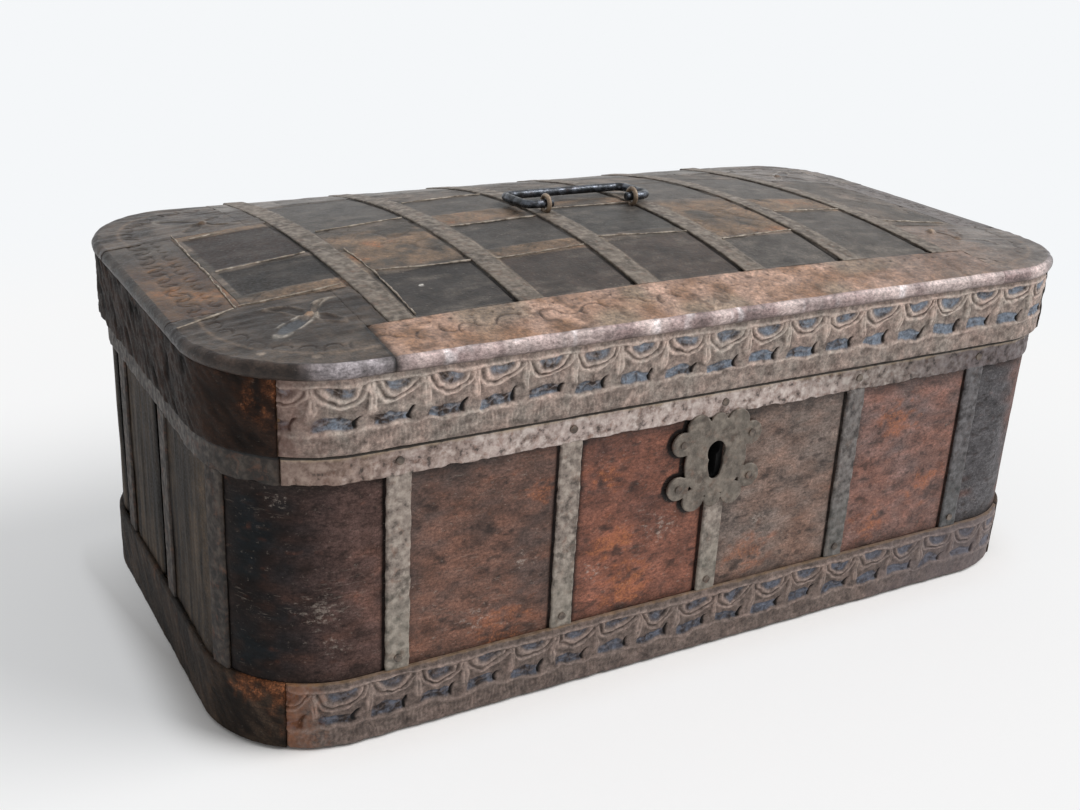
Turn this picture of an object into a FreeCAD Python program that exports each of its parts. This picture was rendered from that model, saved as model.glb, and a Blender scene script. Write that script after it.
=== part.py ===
import FreeCAD, Part
import os
import re

# A small coffer: a softwood box with round corners, skinned in leather and bound
# with iron strips, under a low domed lid. Millimetres, +Z up, front towards -Y.
# The origin is on the floor, at the middle of the case.

doc = FreeCAD.newDocument("coffer_chest")
sheet = doc.addObject("Spreadsheet::Sheet", "Sizes")

SIZES = {
    # case
    "case_length": 500.0,
    "case_width": 263.0,
    "case_height": 149.0,
    "corner_radius": 55.0,
    "wall": 10.0,
    "floor_board": 12.0,
    "leather": 1.5,
    # bands and strips round the case
    "base_band_height": 35.5,
    "base_band_thickness": 2.5,
    "base_band_lift": 0.8,
    "rim_band_height": 14.0,
    "rim_band_thickness": 1.2,
    "strip_width": 12.0,
    "strip_thickness": 1.2,
    "front_strip_inset": 13.0,
    "end_strip_front_inset": 48.5,
    "end_strip_back_inset": 14.5,
    "band_seam_turn": 34.5,
    "corner_leather_turn": 65.0,
    # lid
    "lid_gap": 0.4,
    "lid_side": 41.6,
    "crown_rise": 18.0,
    "lid_overhang": 5.0,
    "lid_band_thickness": 2.5,
    "lid_board": 9.0,
    "cover": 1.5,
    "lip_height": 7.0,
    "lip_thickness": 1.2,
    "end_border_inset": 29.0,
    "long_border_inset": 27.5,
    "long_border_end_inset": 70.0,
    "corner_mount_inset": 71.5,
    "strap_width": 12.0,
    "strap_thickness": 1.3,
    "strap_inset": 86.75,
    # hinges
    "knuckle_radius": 4.0,
    "pin_radius": 2.0,
    "pin_clearance": 0.05,
    "knuckle_gap": 0.3,
    "leaf_knuckle": 5.0,
    "leaf_height": 52.0,
    "leaf_thickness": 2.0,
    "pin_head": 1.5,
    "pin_head_radius": 3.0,
    # handle
    "handle_middle": -3.5,
    "eye_spacing": 56.0,
    "eye_lift": 2.2,
    "eye_wire": 1.3,
    "eye_clearance": 0.5,
    "eye_shank": 1.6,
    "shank_end": 4.0,
    "knee_clearance": 4.3,
    "bail_reach": 29.0,
    "bail_bend": 6.0,
    "bail_rod": 2.4,
    "bail_droop": 3.2,
    "bail_end": 4.0,
    # lock
    "lock_middle": -3.0,
    "lock_length": 60.0,
    "lock_drop": 11.0,
    "lock_height": 46.0,
    "lock_depth": 15.0,
    "lock_plate": 2.0,
    "bolt_side": 6.0,
    "bolt_drop": 19.0,
    "bolt_clearance": 0.3,
    "bolt_throw": 12.0,
    "bolt_stand_out": 1.0,
    "bolt_notch": 2.0,
    "spring_width": 5.0,
    "spring_thickness": 0.8,
    "spring_clearance": 0.4,
    "spring_inset": 8.0,
    "staple_gap": 4.0,
    "staple_width": 8.0,
    "staple_bar": 1.8,
    "staple_clearance": 0.7,
    "staple_plate": 24.0,
    "key_drop": 32.5,
    "key_length": 12.5,
    "key_bow": 5.2,
    "key_slot": 3.0,
    "key_post": 2.0,
    "escutcheon_drop": 38.0,
    "escutcheon_disc": 19.0,
    "escutcheon_thickness": 1.5,
    # nails
    "nail_head": 2.0,
    "nail_head_height": 0.8,
    "nail_shank": 0.8,
    "nail_length": 7.0,
    "leaf_nail_edge": 8.0,
    "leaf_nail_pitch": 22.0,
}

for row, (alias, value) in enumerate(SIZES.items(), 1):
    sheet.set(f"A{row}", alias.replace("_", " "))
    sheet.set(f"B{row}", str(value))
    sheet.setAlias(f"B{row}", alias)
doc.recompute()

NODES = []

# Levels and distances that several pieces share, as expressions on the sheet.
SKIN = "-leather"
INSIDE = "(-leather - wall)"
WALL_LOW = "floor_board"
RIM_LOW = "(case_height - rim_band_height)"
LID_LOW = "(case_height + lid_gap)"
LID_EDGE = f"({LID_LOW} + lid_side)"
CREST = f"({LID_EDGE} + crown_rise)"
LIP = "(lid_overhang + lip_thickness)"
LID_WOOD = "(lid_overhang - lid_band_thickness)"
STRAIGHT_X = "(case_length / 2 - corner_radius)"
STRAIGHT_Y = "(case_width / 2 - corner_radius)"
STRIP_PITCH = f"(({STRAIGHT_X} - front_strip_inset - strip_width / 2) / 2)"
STRAP_PITCH = "((case_length / 2 - strap_inset) / 2.5)"
HINGE_Y = f"(case_width / 2 + {LIP} + knuckle_radius)"
HINGE_Z = "(case_height + lid_gap / 2)"
FRONT = "(-case_width / 2)"
INNER_FACE = f"({FRONT} + leather + wall)"
IRON = "max(strip_thickness; rim_band_thickness)"

# How far a block that only cuts or only marks a region reaches past the pieces.
SPARE = "40"
OVER = "1"
REGION_LOW, REGION_HIGH = f"-{SPARE}", f"({CREST} + {SPARE})"
FAR_X, FAR_Y = f"(case_length / 2 + {SPARE})", f"(case_width / 2 + {SPARE})"
TURN_REACH = f"(corner_radius + {SPARE})"


def size(alias):
    """A driving dimension as a number, for what is not bound to its cell."""
    return float(sheet.get(alias))


def expression(text):
    """Put the sheet's name before each of its aliases in an expression."""
    return re.sub(r"[a-z_]+", lambda word: "Sizes." + word[0] if word[0] in SIZES else word[0], text)


def bind(item, **sizes):
    for prop, text in sizes.items():
        item.setExpression(prop.replace("__", "."), expression(text))
    return item


def place(item, x="0", y="0", z="0"):
    return bind(item, Placement__Base__x=x, Placement__Base__y=y, Placement__Base__z=z)


def turn(item, axis, degrees):
    rotation = FreeCAD.Rotation(FreeCAD.Vector(*axis), degrees)
    item.Placement = FreeCAD.Placement(FreeCAD.Vector(0, 0, 0), rotation)
    return item


def box(name, low, high):
    """A block between two corners, each given as three expressions."""
    block = doc.addObject("Part::Box", name)
    sides = [f"({top}) - ({bottom})" for bottom, top in zip(low, high)]
    bind(block, Length=sides[0], Width=sides[1], Height=sides[2])
    return place(block, *low)


AXES = {"x": (0, 1, 0), "y": (-1, 0, 0)}


def rod(name, axis, radius, length, x, y, z):
    """A round bar whose end is at x, y, z and which runs along +axis."""
    bar = doc.addObject("Part::Cylinder", name)
    if axis in AXES:
        turn(bar, AXES[axis], 90)
    bind(bar, Radius=radius, Height=length)
    return place(bar, x, y, z)


def slice_of_corner(name, sign_x, sign_y, radius, start, angle, low=REGION_LOW, high=REGION_HIGH):
    """An upright wedge of cake at one corner's centre, from start degrees round."""
    wedge = turn(doc.addObject("Part::Cylinder", name), (0, 0, 1), 0)
    bind(wedge, Radius=radius, Height=f"({high}) - ({low})", Angle=angle)
    bind(wedge, Placement__Rotation__Angle=start)
    return place(wedge, f"{sign_x} * {STRAIGHT_X}", f"{sign_y} * {STRAIGHT_Y}", low)


def fuse(name, *pieces):
    joined = doc.addObject("Part::MultiFuse", name)
    joined.Shapes = list(pieces)
    return joined


def cut(name, base, tool):
    rest = doc.addObject("Part::Cut", name)
    rest.Base = base
    rest.Tool = tool
    return rest


def common(name, first, second):
    shared = doc.addObject("Part::Common", name)
    shared.Base = first
    shared.Tool = second
    return shared


def group(name, *pieces):
    together = doc.addObject("Part::Compound", name)
    together.Links = list(pieces)
    return together


def node(item, label):
    """Give a finished piece the name it is known by."""
    item.Label = label
    NODES.append(item)
    return item


def rounded_block(name, grow, low, high):
    """The case's outline with round corners, grown by a distance all round."""
    body = doc.addObject("PartDesign::Body", name)
    block = body.newObject("PartDesign::AdditiveBox", name + "_block")
    bind(block, Length=f"case_length + 2 * ({grow})", Width=f"case_width + 2 * ({grow})",
         Height=f"({high}) - ({low})")
    place(block, f"-case_length / 2 - ({grow})", f"-case_width / 2 - ({grow})", low)
    doc.recompute()
    upright = [f"Edge{i}" for i, edge in enumerate(block.Shape.Edges, 1)
               if abs(edge.tangentAt(edge.FirstParameter).z) > 0.99]
    corners = body.newObject("PartDesign::Fillet", name + "_corners")
    corners.Base = (block, upright)
    bind(corners, Radius=f"corner_radius + ({grow})")
    body.Tip = corners
    return body


def ring(name, inner, outer, low, high):
    """A band that follows the outline, between two distances from it."""
    outside = rounded_block(name + "_outside", outer, low, high)
    inside = rounded_block(name + "_inside", inner, f"({low}) - {OVER}", f"({high}) + {OVER}")
    return cut(name, outside, inside)


def side_region(name, side, corner_turn):
    """The space over one side of the box, and a turn of the corner at each end."""
    straight = {
        "front": ((f"-{STRAIGHT_X}", f"-{FAR_Y}"), (STRAIGHT_X, f"-{STRAIGHT_Y}")),
        "back": ((f"-{STRAIGHT_X}", STRAIGHT_Y), (STRAIGHT_X, FAR_Y)),
        "left": ((f"-{FAR_X}", f"-{STRAIGHT_Y}"), (f"-{STRAIGHT_X}", STRAIGHT_Y)),
        "right": ((STRAIGHT_X, f"-{STRAIGHT_Y}"), (FAR_X, STRAIGHT_Y)),
    }[side]
    face = box(name + "_straight", (*straight[0], REGION_LOW), (*straight[1], REGION_HIGH))
    # corner signs at the clockwise and the anticlockwise end, and the face's own direction
    before, after, facing = {
        "front": ((-1, -1), (1, -1), 270),
        "back": ((1, 1), (-1, 1), 90),
        "left": ((-1, 1), (-1, -1), 180),
        "right": ((1, -1), (1, 1), 0),
    }[side]
    first = slice_of_corner(name + "_first", *before, TURN_REACH, f"{facing} - ({corner_turn})", corner_turn)
    last = slice_of_corner(name + "_last", *after, TURN_REACH, f"{facing}", corner_turn)
    return fuse(name, face, first, last)


def crown(name, rise, depth):
    """A slab under the lid's dome, its top lifted by rise and its underside as much curved.

    The dome is crown_rise * (1 - (x/a)^2) * (1 - (y/b)^2) above the lid's edge, which
    a patch of degree two each way gives exactly.
    """
    lip = size("lid_overhang") + size("lip_thickness")
    edge = size("case_height") + size("lid_gap") + size("lid_side")
    spare = float(SPARE) / 2
    half = [size("case_length") / 2 + lip, size("case_width") / 2 + lip]
    reach = [edge_at + spare for edge_at in half]
    steps = [[1 - (far / near) ** 2, 1 + (far / near) ** 2, 1 - (far / near) ** 2]
             for far, near in zip(reach, half)]
    patch = Part.BezierSurface()
    patch.increase(2, 2)
    for i in range(3):
        for j in range(3):
            height = edge + rise + size("crown_rise") * steps[0][i] * steps[1][j]
            patch.setPole(i + 1, j + 1, FreeCAD.Vector((i - 1) * reach[0], (j - 1) * reach[1], height))
    slab = doc.addObject("Part::Feature", name)
    slab.Shape = patch.toShape().extrude(FreeCAD.Vector(0, 0, -depth))
    return slab


# Case: a floor board, four straight boards and four solid corner posts.

KEY_TOP, KEY_BOTTOM = "(case_height - key_drop)", "(case_height - key_drop - key_length)"
key_low_y, key_high_y = f"({FRONT} - {SPARE})", f"({INNER_FACE} + {OVER})"
key_deep = f"{key_high_y} - {key_low_y}"
keyhole_bow = rod("KeyholeBow", "y", "key_bow", key_deep, "lock_middle", key_low_y, KEY_TOP)
keyhole_end = rod("KeyholeEnd", "y", "key_slot", key_deep, "lock_middle", key_low_y, KEY_BOTTOM)
keyhole_slot = box("KeyholeSlot", ("lock_middle - key_slot", key_low_y, KEY_BOTTOM),
                   ("lock_middle + key_slot", key_high_y, KEY_TOP))
keyhole = fuse("Keyhole", keyhole_bow, keyhole_end, keyhole_slot)

node(rounded_block("FloorBoard", SKIN, "0", "floor_board"), "bottom_board")

front_blank = box("FrontBlank", (f"-{STRAIGHT_X}", f"{FRONT} + leather", WALL_LOW),
                  (STRAIGHT_X, INNER_FACE, "case_height"))
node(cut("FrontBoard", front_blank, keyhole), "front_board")
node(box("BackBoard", (f"-{STRAIGHT_X}", f"-{INNER_FACE}", WALL_LOW),
         (STRAIGHT_X, f"-({FRONT} + leather)", "case_height")), "back_board")
for side, sign in (("left", -1), ("right", 1)):
    near = "case_length / 2 - leather - wall"
    far = "case_length / 2 - leather"
    low_x, high_x = (f"-({far})", f"-({near})") if sign < 0 else (near, far)
    node(box(side.title() + "EndBoard", (low_x, f"-{STRAIGHT_Y}", WALL_LOW),
             (high_x, STRAIGHT_Y, "case_height")), side + "_end_board")

CORNERS = {"front_left": (-1, -1, 180), "front_right": (1, -1, 270),
           "back_right": (1, 1, 0), "back_left": (-1, 1, 90)}


def corner_solid(name, sign_x, sign_y, start, grow, low, high):
    """A quarter round corner piece with a flat face across its inner side."""
    quarter = slice_of_corner(name + "_round", sign_x, sign_y, f"corner_radius + ({grow})", str(start), "90",
                              low, high)
    inner = f"(corner_radius + {INSIDE})"
    hollow = turn(doc.addObject("Part::Box", name + "_hollow"), (0, 0, 1), start + 45)
    bind(hollow, Length=f"{inner} * sqrt(0.5)", Width=f"2 * {inner}",
         Height=f"({high}) - ({low}) + 2 * {OVER}")
    place(hollow, f"{sign_x} * {STRAIGHT_X} - ({-sign_y}) * {inner} * sqrt(0.5)",
          f"{sign_y} * {STRAIGHT_Y} - {sign_x} * {inner} * sqrt(0.5)", f"({low}) - {OVER}")
    return cut(name, quarter, hollow)


for corner, (sign_x, sign_y, start) in CORNERS.items():
    post = corner_solid(corner.title().replace("_", "") + "Post", sign_x, sign_y, start, SKIN, WALL_LOW,
                        "case_height")
    node(post, corner + "_post")

# Leather skin: a hide on each end and the back, a piece round each front corner,
# and four panels between the front strips.

hide = ring("Hide", SKIN, "0", "base_band_lift", "case_height")
for number in range(1, 5):
    span = box(f"FrontPanelSpan{number}", (f"{number - 3} * {STRIP_PITCH}", f"-{FAR_Y}", REGION_LOW),
               (f"{number - 2} * {STRIP_PITCH}", "0", REGION_HIGH))
    panel = common(f"FrontPanel{number}", hide, span)
    if number in (2, 3):
        panel = cut(f"FrontPanel{number}Pierced", panel, keyhole)
    node(panel, f"front_leather_{number}")

for corner, sign_x in (("front_left", -1), ("front_right", 1)):
    start = "270 - corner_leather_turn" if sign_x < 0 else "270"
    title = corner.title().replace("_", "")
    wedge = slice_of_corner(title + "HideTurn", sign_x, -1, TURN_REACH, start, "corner_leather_turn")
    strip_x = f"2 * {STRIP_PITCH}"
    low_x, high_x = (f"-{STRAIGHT_X}", f"-{strip_x}") if sign_x < 0 else (strip_x, STRAIGHT_X)
    flat = box(title + "HideFlat", (low_x, f"-{FAR_Y}", REGION_LOW), (high_x, "0", REGION_HIGH))
    node(common(title + "Hide", hide, fuse(title + "HideSpan", flat, wedge)), corner + "_corner_leather")
for side in ("left", "right"):
    span = side_region(side.title() + "HideSpan", side, "90 - corner_leather_turn")
    node(common(side.title() + "Hide", hide, span), side + "_end_leather")
back_span = side_region("BackHideSpan", "back", "corner_leather_turn")
node(common("BackHide", hide, back_span), "back_leather")

# Iron strips over the joints of the leather. They run from the base band to the rim.

STRIP_LOW, STRIP_HIGH = "base_band_height", RIM_LOW


def flat_strip(name, x, y, along):
    """A strip lying on a flat side, its middle at x, y on the leather's face."""
    face, middle = (y, x) if along == "x" else (x, y)
    low = f"({face}) - strip_thickness" if face.startswith("-") else face
    high = f"({low}) + strip_thickness"
    left, right = f"({middle}) - strip_width / 2", f"({middle}) + strip_width / 2"
    if along == "x":
        return box(name, (left, low, STRIP_LOW), (right, high, STRIP_HIGH))
    return box(name, (low, left, STRIP_LOW), (high, right, STRIP_HIGH))


for number in range(1, 6):
    strip = flat_strip(f"FrontStrip{number}", f"{number - 3} * {STRIP_PITCH}", "-case_width / 2", "x")
    if number == 3:
        strip = cut("FrontStrip3Pierced", strip, keyhole)
    node(strip, f"front_strip_{number}")

strip_ring = ring("StripRing", "0", "strip_thickness", STRIP_LOW, STRIP_HIGH)
END_STRIP_Y = (f"-{STRAIGHT_Y} + end_strip_front_inset + strip_width / 2",
               f"{STRAIGHT_Y} - end_strip_back_inset - strip_width / 2")
side_strips = []
for number in range(1, 6):
    x = f"{number - 3} * {STRIP_PITCH}"
    side_strips.append(flat_strip(f"BackStrip{number}", x, "case_width / 2", "x"))
for side, sign in (("Left", "-"), ("Right", "")):
    for number, y in enumerate(END_STRIP_Y):
        side_strips.append(flat_strip(f"{side}Strip{number}", f"{sign}case_length / 2", y, "y"))
    turned = "strip_width / corner_radius * 180 / pi"
    start = f"270 - corner_leather_turn - {turned}" if sign else "270 + corner_leather_turn"
    wedge = slice_of_corner(side + "CornerStripTurn", -1 if sign else 1, -1, TURN_REACH, start, turned)
    side_strips.append(common(side + "CornerStrip", strip_ring, wedge))
node(group("SideStrips", *side_strips), "side_strips")

# Base and rim bands: a front length, and a longer one round the ends and the back.

front_span = side_region("BandFrontSpan", "front", "band_seam_turn")
base_ring = ring("BaseRing", "0", "base_band_thickness", "base_band_lift", "base_band_height")
rim_ring = ring("RimRing", "0", "rim_band_thickness", RIM_LOW, "case_height")
for name, whole in (("base", base_ring), ("rim", rim_ring)):
    node(common(name.title() + "Front", whole, front_span), name + "_band_front")
    node(cut(name.title() + "Round", whole, front_span), name + "_band_round")

# Lid: rails and corner blocks under a domed board, with the leather band round them.

deep = size("lid_side") + size("crown_rise") + float(SPARE)
crown_wood = crown("CrownUnderBoard", -size("cover") - size("lid_board"), deep)
crown_board = crown("CrownBoard", -size("cover"), size("lid_board"))
crown_cover = crown("CrownUnderCover", -size("cover"), deep)
crown_top = crown("CrownTop", 0, deep)
crown_strap = crown("CrownStrap", size("strap_thickness"), deep)
LID_TALL = REGION_HIGH

out_x, out_y = f"(case_length / 2 + {LID_WOOD})", f"(case_width / 2 + {LID_WOOD})"
in_x, in_y = f"(case_length / 2 + {INSIDE})", f"(case_width / 2 + {INSIDE})"
RAILS = {
    "front": ((f"-{STRAIGHT_X}", f"-{out_y}"), (STRAIGHT_X, f"-{in_y}")),
    "back": ((f"-{STRAIGHT_X}", in_y), (STRAIGHT_X, out_y)),
    "left": ((f"-{out_x}", f"-{STRAIGHT_Y}"), (f"-{in_x}", STRAIGHT_Y)),
    "right": ((in_x, f"-{STRAIGHT_Y}"), (out_x, STRAIGHT_Y)),
}
for side, (low, high) in RAILS.items():
    blank = box(side.title() + "RailBlank", (*low, LID_LOW), (*high, LID_TALL))
    node(common(side.title() + "Rail", blank, crown_wood), f"lid_{side}_rail")
blocks = []
for corner, (sign_x, sign_y, start) in CORNERS.items():
    title = corner.title().replace("_", "")
    blank = corner_solid(title + "BlockBlank", sign_x, sign_y, start, LID_WOOD, LID_LOW, LID_TALL)
    blocks.append(common(title + "Block", blank, crown_wood))
node(group("CornerBlocks", *blocks), "lid_corner_blocks")

# Handle staples: an eye of bent wire on a shank that goes down through the lid.

EYE_Z = f"({CREST} + bail_rod + eye_lift)"
EYE_RADIUS = "(bail_rod + eye_clearance + eye_wire)"
staples = []
for side, sign in (("Left", -1), ("Right", 1)):
    x = f"handle_middle + ({sign}) * eye_spacing / 2"
    eye = turn(doc.addObject("Part::Torus", side + "Eye"), (0, 1, 0), 90)
    place(bind(eye, Radius1=EYE_RADIUS, Radius2="eye_wire"), x, "0", EYE_Z)
    shank_low = f"{CREST} - cover - lid_board - shank_end"
    shank_length = f"{EYE_Z} - {EYE_RADIUS} - ({shank_low})"
    shank = rod(side + "Shank", "z", "eye_shank", shank_length, x, "0", shank_low)
    staples.append(fuse(side + "Staple", eye, shank))
handle_staples = node(group("HandleStaples", *staples), "handle_staples")

board_outline = rounded_block("TopBoardOutline", LID_WOOD, LID_LOW, LID_TALL)
board_blank = common("TopBoardBlank", board_outline, crown_board)
node(cut("TopBoard", board_blank, handle_staples), "lid_top_board")

band_blank = ring("LidBandBlank", LID_WOOD, "lid_overhang", LID_LOW, LID_TALL)
lid_band = common("LidBand", band_blank, crown_cover)
node(common("LidBandFront", lid_band, front_span), "lid_band_front")
node(cut("LidBandRound", lid_band, front_span), "lid_band_round")

# Cover: one skin over the dome with a lip turned down over the band, cut into a
# middle field, a border along each side and a deep piece on each corner.

LIP_LOW = f"({LID_EDGE} - lip_height)"
cap_outer = common("CapOuter", rounded_block("CapOutline", LIP, LIP_LOW, LID_TALL), crown_top)
cap_inner = common("CapInner", rounded_block("CapInside", "lid_overhang", LID_LOW, LID_TALL), crown_cover)
cap = cut("Cap", cap_outer, cap_inner)

FIELD_X, FIELD_Y = "(case_length / 2 - end_border_inset)", "(case_width / 2 - long_border_inset)"
BORDER_END = "(case_length / 2 - long_border_end_inset)"
MOUNT_EDGE = "(case_width / 2 - corner_mount_inset)"
MOUNT_X = f"(2.5 * {STRAP_PITCH} + strap_width / 2)"


def cover_box(name, x_low, y_low, x_high, y_high):
    return box(name, (x_low, y_low, LID_LOW), (x_high, y_high, LID_TALL))


BORDERS = {
    "front": (f"-{BORDER_END}", f"-{FAR_Y}", BORDER_END, f"-{FIELD_Y}"),
    "back": (f"-{BORDER_END}", FIELD_Y, BORDER_END, FAR_Y),
    "left": (f"-{FAR_X}", f"-{MOUNT_EDGE}", f"-{FIELD_X}", MOUNT_EDGE),
    "right": (FIELD_X, f"-{MOUNT_EDGE}", FAR_X, MOUNT_EDGE),
}
border_spans = []
for side, edges in BORDERS.items():
    border_spans.append(cover_box(side.title() + "BorderSpan", *edges))
    node(common(side.title() + "Border", cap, border_spans[-1]), side + "_border")

mount_spans = []
mounts = []
for corner, (sign_x, sign_y, start) in CORNERS.items():
    title = corner.title().replace("_", "")
    xs = (f"-{FAR_X}", f"-{MOUNT_X}") if sign_x < 0 else (MOUNT_X, FAR_X)
    edge_xs = (f"-{FAR_X}", f"-{BORDER_END}") if sign_x < 0 else (BORDER_END, FAR_X)
    inner_ys = (f"-{FIELD_Y}", f"-{MOUNT_EDGE}") if sign_y < 0 else (MOUNT_EDGE, FIELD_Y)
    outer_ys = (f"-{FAR_Y}", f"-{FIELD_Y}") if sign_y < 0 else (FIELD_Y, FAR_Y)
    inner = cover_box(title + "MountInner", xs[0], inner_ys[0], xs[1], inner_ys[1])
    outer = cover_box(title + "MountOuter", edge_xs[0], outer_ys[0], edge_xs[1], outer_ys[1])
    span = fuse(title + "MountSpan", inner, outer)
    mount_spans.append(span)
    mounts.append(common(title + "Mount", cap, span))
node(group("CornerMounts", *mounts), "corner_mounts")

edging = fuse("Edging", *border_spans, *mount_spans)
field = cut("FieldBlank", cap, edging)
node(cut("Field", field, handle_staples), "field_leather")

# Straps: iron bars over the dome from the front border to the back edge, where they
# turn down. The second and the fifth go on down to the hinge knuckles.

lid_core = common("LidCore", rounded_block("LidCoreOutline", LIP, f"{LID_LOW} - {OVER}", LID_TALL), crown_top)
HINGED = (2, 5)
for number in range(1, 7):
    x = f"({number - 3.5} * {STRAP_PITCH})"
    low = HINGE_Z if number in HINGED else LIP_LOW
    blank = box(f"Strap{number}Blank", (f"{x} - strap_width / 2", f"-{FIELD_Y}", low),
                (f"{x} + strap_width / 2", f"case_width / 2 + {LIP} + strap_thickness", LID_TALL))
    strap = cut(f"Strap{number}", common(f"Strap{number}Curved", blank, crown_strap), lid_core)
    if number in HINGED:
        knuckle = rod(f"Strap{number}Knuckle", "x", "knuckle_radius", "strap_width",
                      f"{x} - strap_width / 2", HINGE_Y, HINGE_Z)
        bore = rod(f"Strap{number}Bore", "x", "pin_radius + pin_clearance", f"strap_width + 2 * {OVER}",
                   f"{x} - strap_width / 2 - {OVER}", HINGE_Y, HINGE_Z)
        strap = cut(f"Strap{number}Hinged", fuse(f"Strap{number}Joined", strap, knuckle), bore)
    elif number in (3, 4):
        strap = cut(f"Strap{number}Pierced", strap, handle_staples)
    node(strap, f"lid_strap_{number}")

# Hinge leaves on the case's back, each with two knuckles beside the strap's, and pins.

LEAF_REACH = "(strap_width / 2 + knuckle_gap + leaf_knuckle)"
LEAF_Y = f"(case_width / 2 + {IRON})"
WEB_LOW, WEB_HIGH = f"{HINGE_Z} - knuckle_radius", f"{HINGE_Z} - knuckle_radius + leaf_thickness"
leaves, pins = [], []
for number in HINGED:
    x = f"({number - 3.5} * {STRAP_PITCH})"
    left, right = f"{x} - {LEAF_REACH}", f"{x} + {LEAF_REACH}"
    solids = [box(f"Leaf{number}Plate", (left, LEAF_Y, "case_height - leaf_height"),
                  (right, f"{LEAF_Y} + leaf_thickness", WEB_HIGH))]
    bore = rod(f"Leaf{number}Bore", "x", "pin_radius", f"2 * ({LEAF_REACH} + {OVER})", f"{left} - {OVER}",
               HINGE_Y, HINGE_Z)
    for side, low_x in (("A", left), ("B", f"{right} - leaf_knuckle")):
        solids.append(box(f"Leaf{number}Web{side}", (low_x, LEAF_Y, WEB_LOW),
                          (f"{low_x} + leaf_knuckle", HINGE_Y, WEB_HIGH)))
        solids.append(rod(f"Leaf{number}Knuckle{side}", "x", "knuckle_radius", "leaf_knuckle", low_x,
                          HINGE_Y, HINGE_Z))
    leaves.append(cut(f"Leaf{number}", fuse(f"Leaf{number}Joined", *solids), bore))
    pin = [rod(f"Pin{number}Stem", "x", "pin_radius", f"2 * {LEAF_REACH}", left, HINGE_Y, HINGE_Z)]
    for side, low_x in (("A", f"{left} - pin_head"), ("B", right)):
        pin.append(rod(f"Pin{number}Head{side}", "x", "pin_head_radius", "pin_head", low_x, HINGE_Y, HINGE_Z))
    pins.append(fuse(f"Pin{number}", *pin))
node(group("HingeLeaves", *leaves), "hinge_leaves")
node(group("HingePins", *pins), "hinge_pins")

# Bail: a rod bent to a wide staple, its ends turned in through the eyes. It is made
# flat about its own pivot line, then tipped down until the bar rests near the lid.

corner_x = "(eye_spacing / 2 + eye_wire + knee_clearance + bail_bend)"
stub_end = "(eye_spacing / 2 - bail_end)"
bail_pieces = [rod("BailBar", "x", "bail_rod", f"2 * ({corner_x} - bail_bend)",
                   f"-({corner_x} - bail_bend)", "bail_reach", "0")]
for side, sign in (("Left", -1), ("Right", 1)):
    stub_x = f"-({corner_x} - bail_bend)" if sign < 0 else stub_end
    bail_pieces.append(rod(side + "Stub", "x", "bail_rod", f"{corner_x} - bail_bend - {stub_end}", stub_x,
                           "0", "0"))
    bail_pieces.append(rod(side + "Arm", "y", "bail_rod", "bail_reach - 2 * bail_bend",
                           f"{sign} * {corner_x}", "bail_bend", "0"))
    for end, y, start in (("Low", "bail_bend", 180 if sign < 0 else 270),
                          ("High", "bail_reach - bail_bend", 90 if sign < 0 else 0)):
        bend = turn(doc.addObject("Part::Torus", side + end + "Bend"), (0, 0, 1), start)
        bend.Angle3 = 90
        bind(bend, Radius1="bail_bend", Radius2="bail_rod")
        bail_pieces.append(place(bend, f"{sign} * ({corner_x} - bail_bend)", y, "0"))
bail = turn(fuse("Bail", *bail_pieces), (-1, 0, 0), 1)
bind(bail, Placement__Rotation__Angle="bail_droop")
place(bail, "handle_middle", "0", EYE_Z)
node(bail, "bail")

# Lock: an iron box on the inside of the front board, open towards the board, with a
# key post in it. A square bolt slides through its ends into a staple on the lid.

lock_low_x, lock_high_x = "(lock_middle - lock_length / 2)", "(lock_middle + lock_length / 2)"
lock_high = "(case_height - lock_drop)"
lock_low = f"({lock_high} - lock_height)"
lock_out_y = f"({INNER_FACE} + lock_depth)"
lock_outer = box("LockOuter", (lock_low_x, INNER_FACE, lock_low), (lock_high_x, lock_out_y, lock_high))
lock_inner = box("LockInner",
                 (f"{lock_low_x} + lock_plate", f"{INNER_FACE} - {OVER}", f"{lock_low} + lock_plate"),
                 (f"{lock_high_x} - lock_plate", f"{lock_out_y} - lock_plate", f"{lock_high} - lock_plate"))
bolt_y, bolt_z = f"({INNER_FACE} + lock_depth / 2)", "(case_height - bolt_drop)"


def bolt_box(name, low_x, high_x, grow):
    """A square bar on the bolt's line, grown by a distance on each side."""
    half = f"(bolt_side / 2 + {grow})"
    return box(name, (low_x, f"{bolt_y} - {half}", f"{bolt_z} - {half}"),
               (high_x, f"{bolt_y} + {half}", f"{bolt_z} + {half}"))


slots = bolt_box("BoltSlots", f"{lock_low_x} - {OVER}", f"{lock_high_x} + {OVER}", "bolt_clearance")
lock_shell = cut("LockShell", cut("LockHollow", lock_outer, lock_inner), slots)
key_post = rod("KeyPost", "y", "key_post", f"lock_depth - lock_plate - {OVER}", "lock_middle",
               f"{INNER_FACE} + {OVER}", KEY_TOP)
node(fuse("LockCase", lock_shell, key_post), "lock_case")

spring_x, spring_z = f"({lock_low_x} + spring_inset)", f"({bolt_z} + bolt_side / 2 + spring_clearance)"
spring_low_y, spring_high_y = f"{bolt_y} - spring_width / 2", f"{bolt_y} + spring_width / 2"
spring_leaf = box("SpringLeaf", (spring_x, spring_low_y, spring_z),
                  (f"{lock_high_x} - spring_inset", spring_high_y, f"{spring_z} + spring_thickness"))
spring_foot = box("SpringFoot", (spring_x, spring_low_y, spring_z),
                  (f"{spring_x} + spring_width", spring_high_y, f"{lock_high} - lock_plate"))
node(fuse("BoltSpring", spring_leaf, spring_foot), "bolt_spring")

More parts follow.
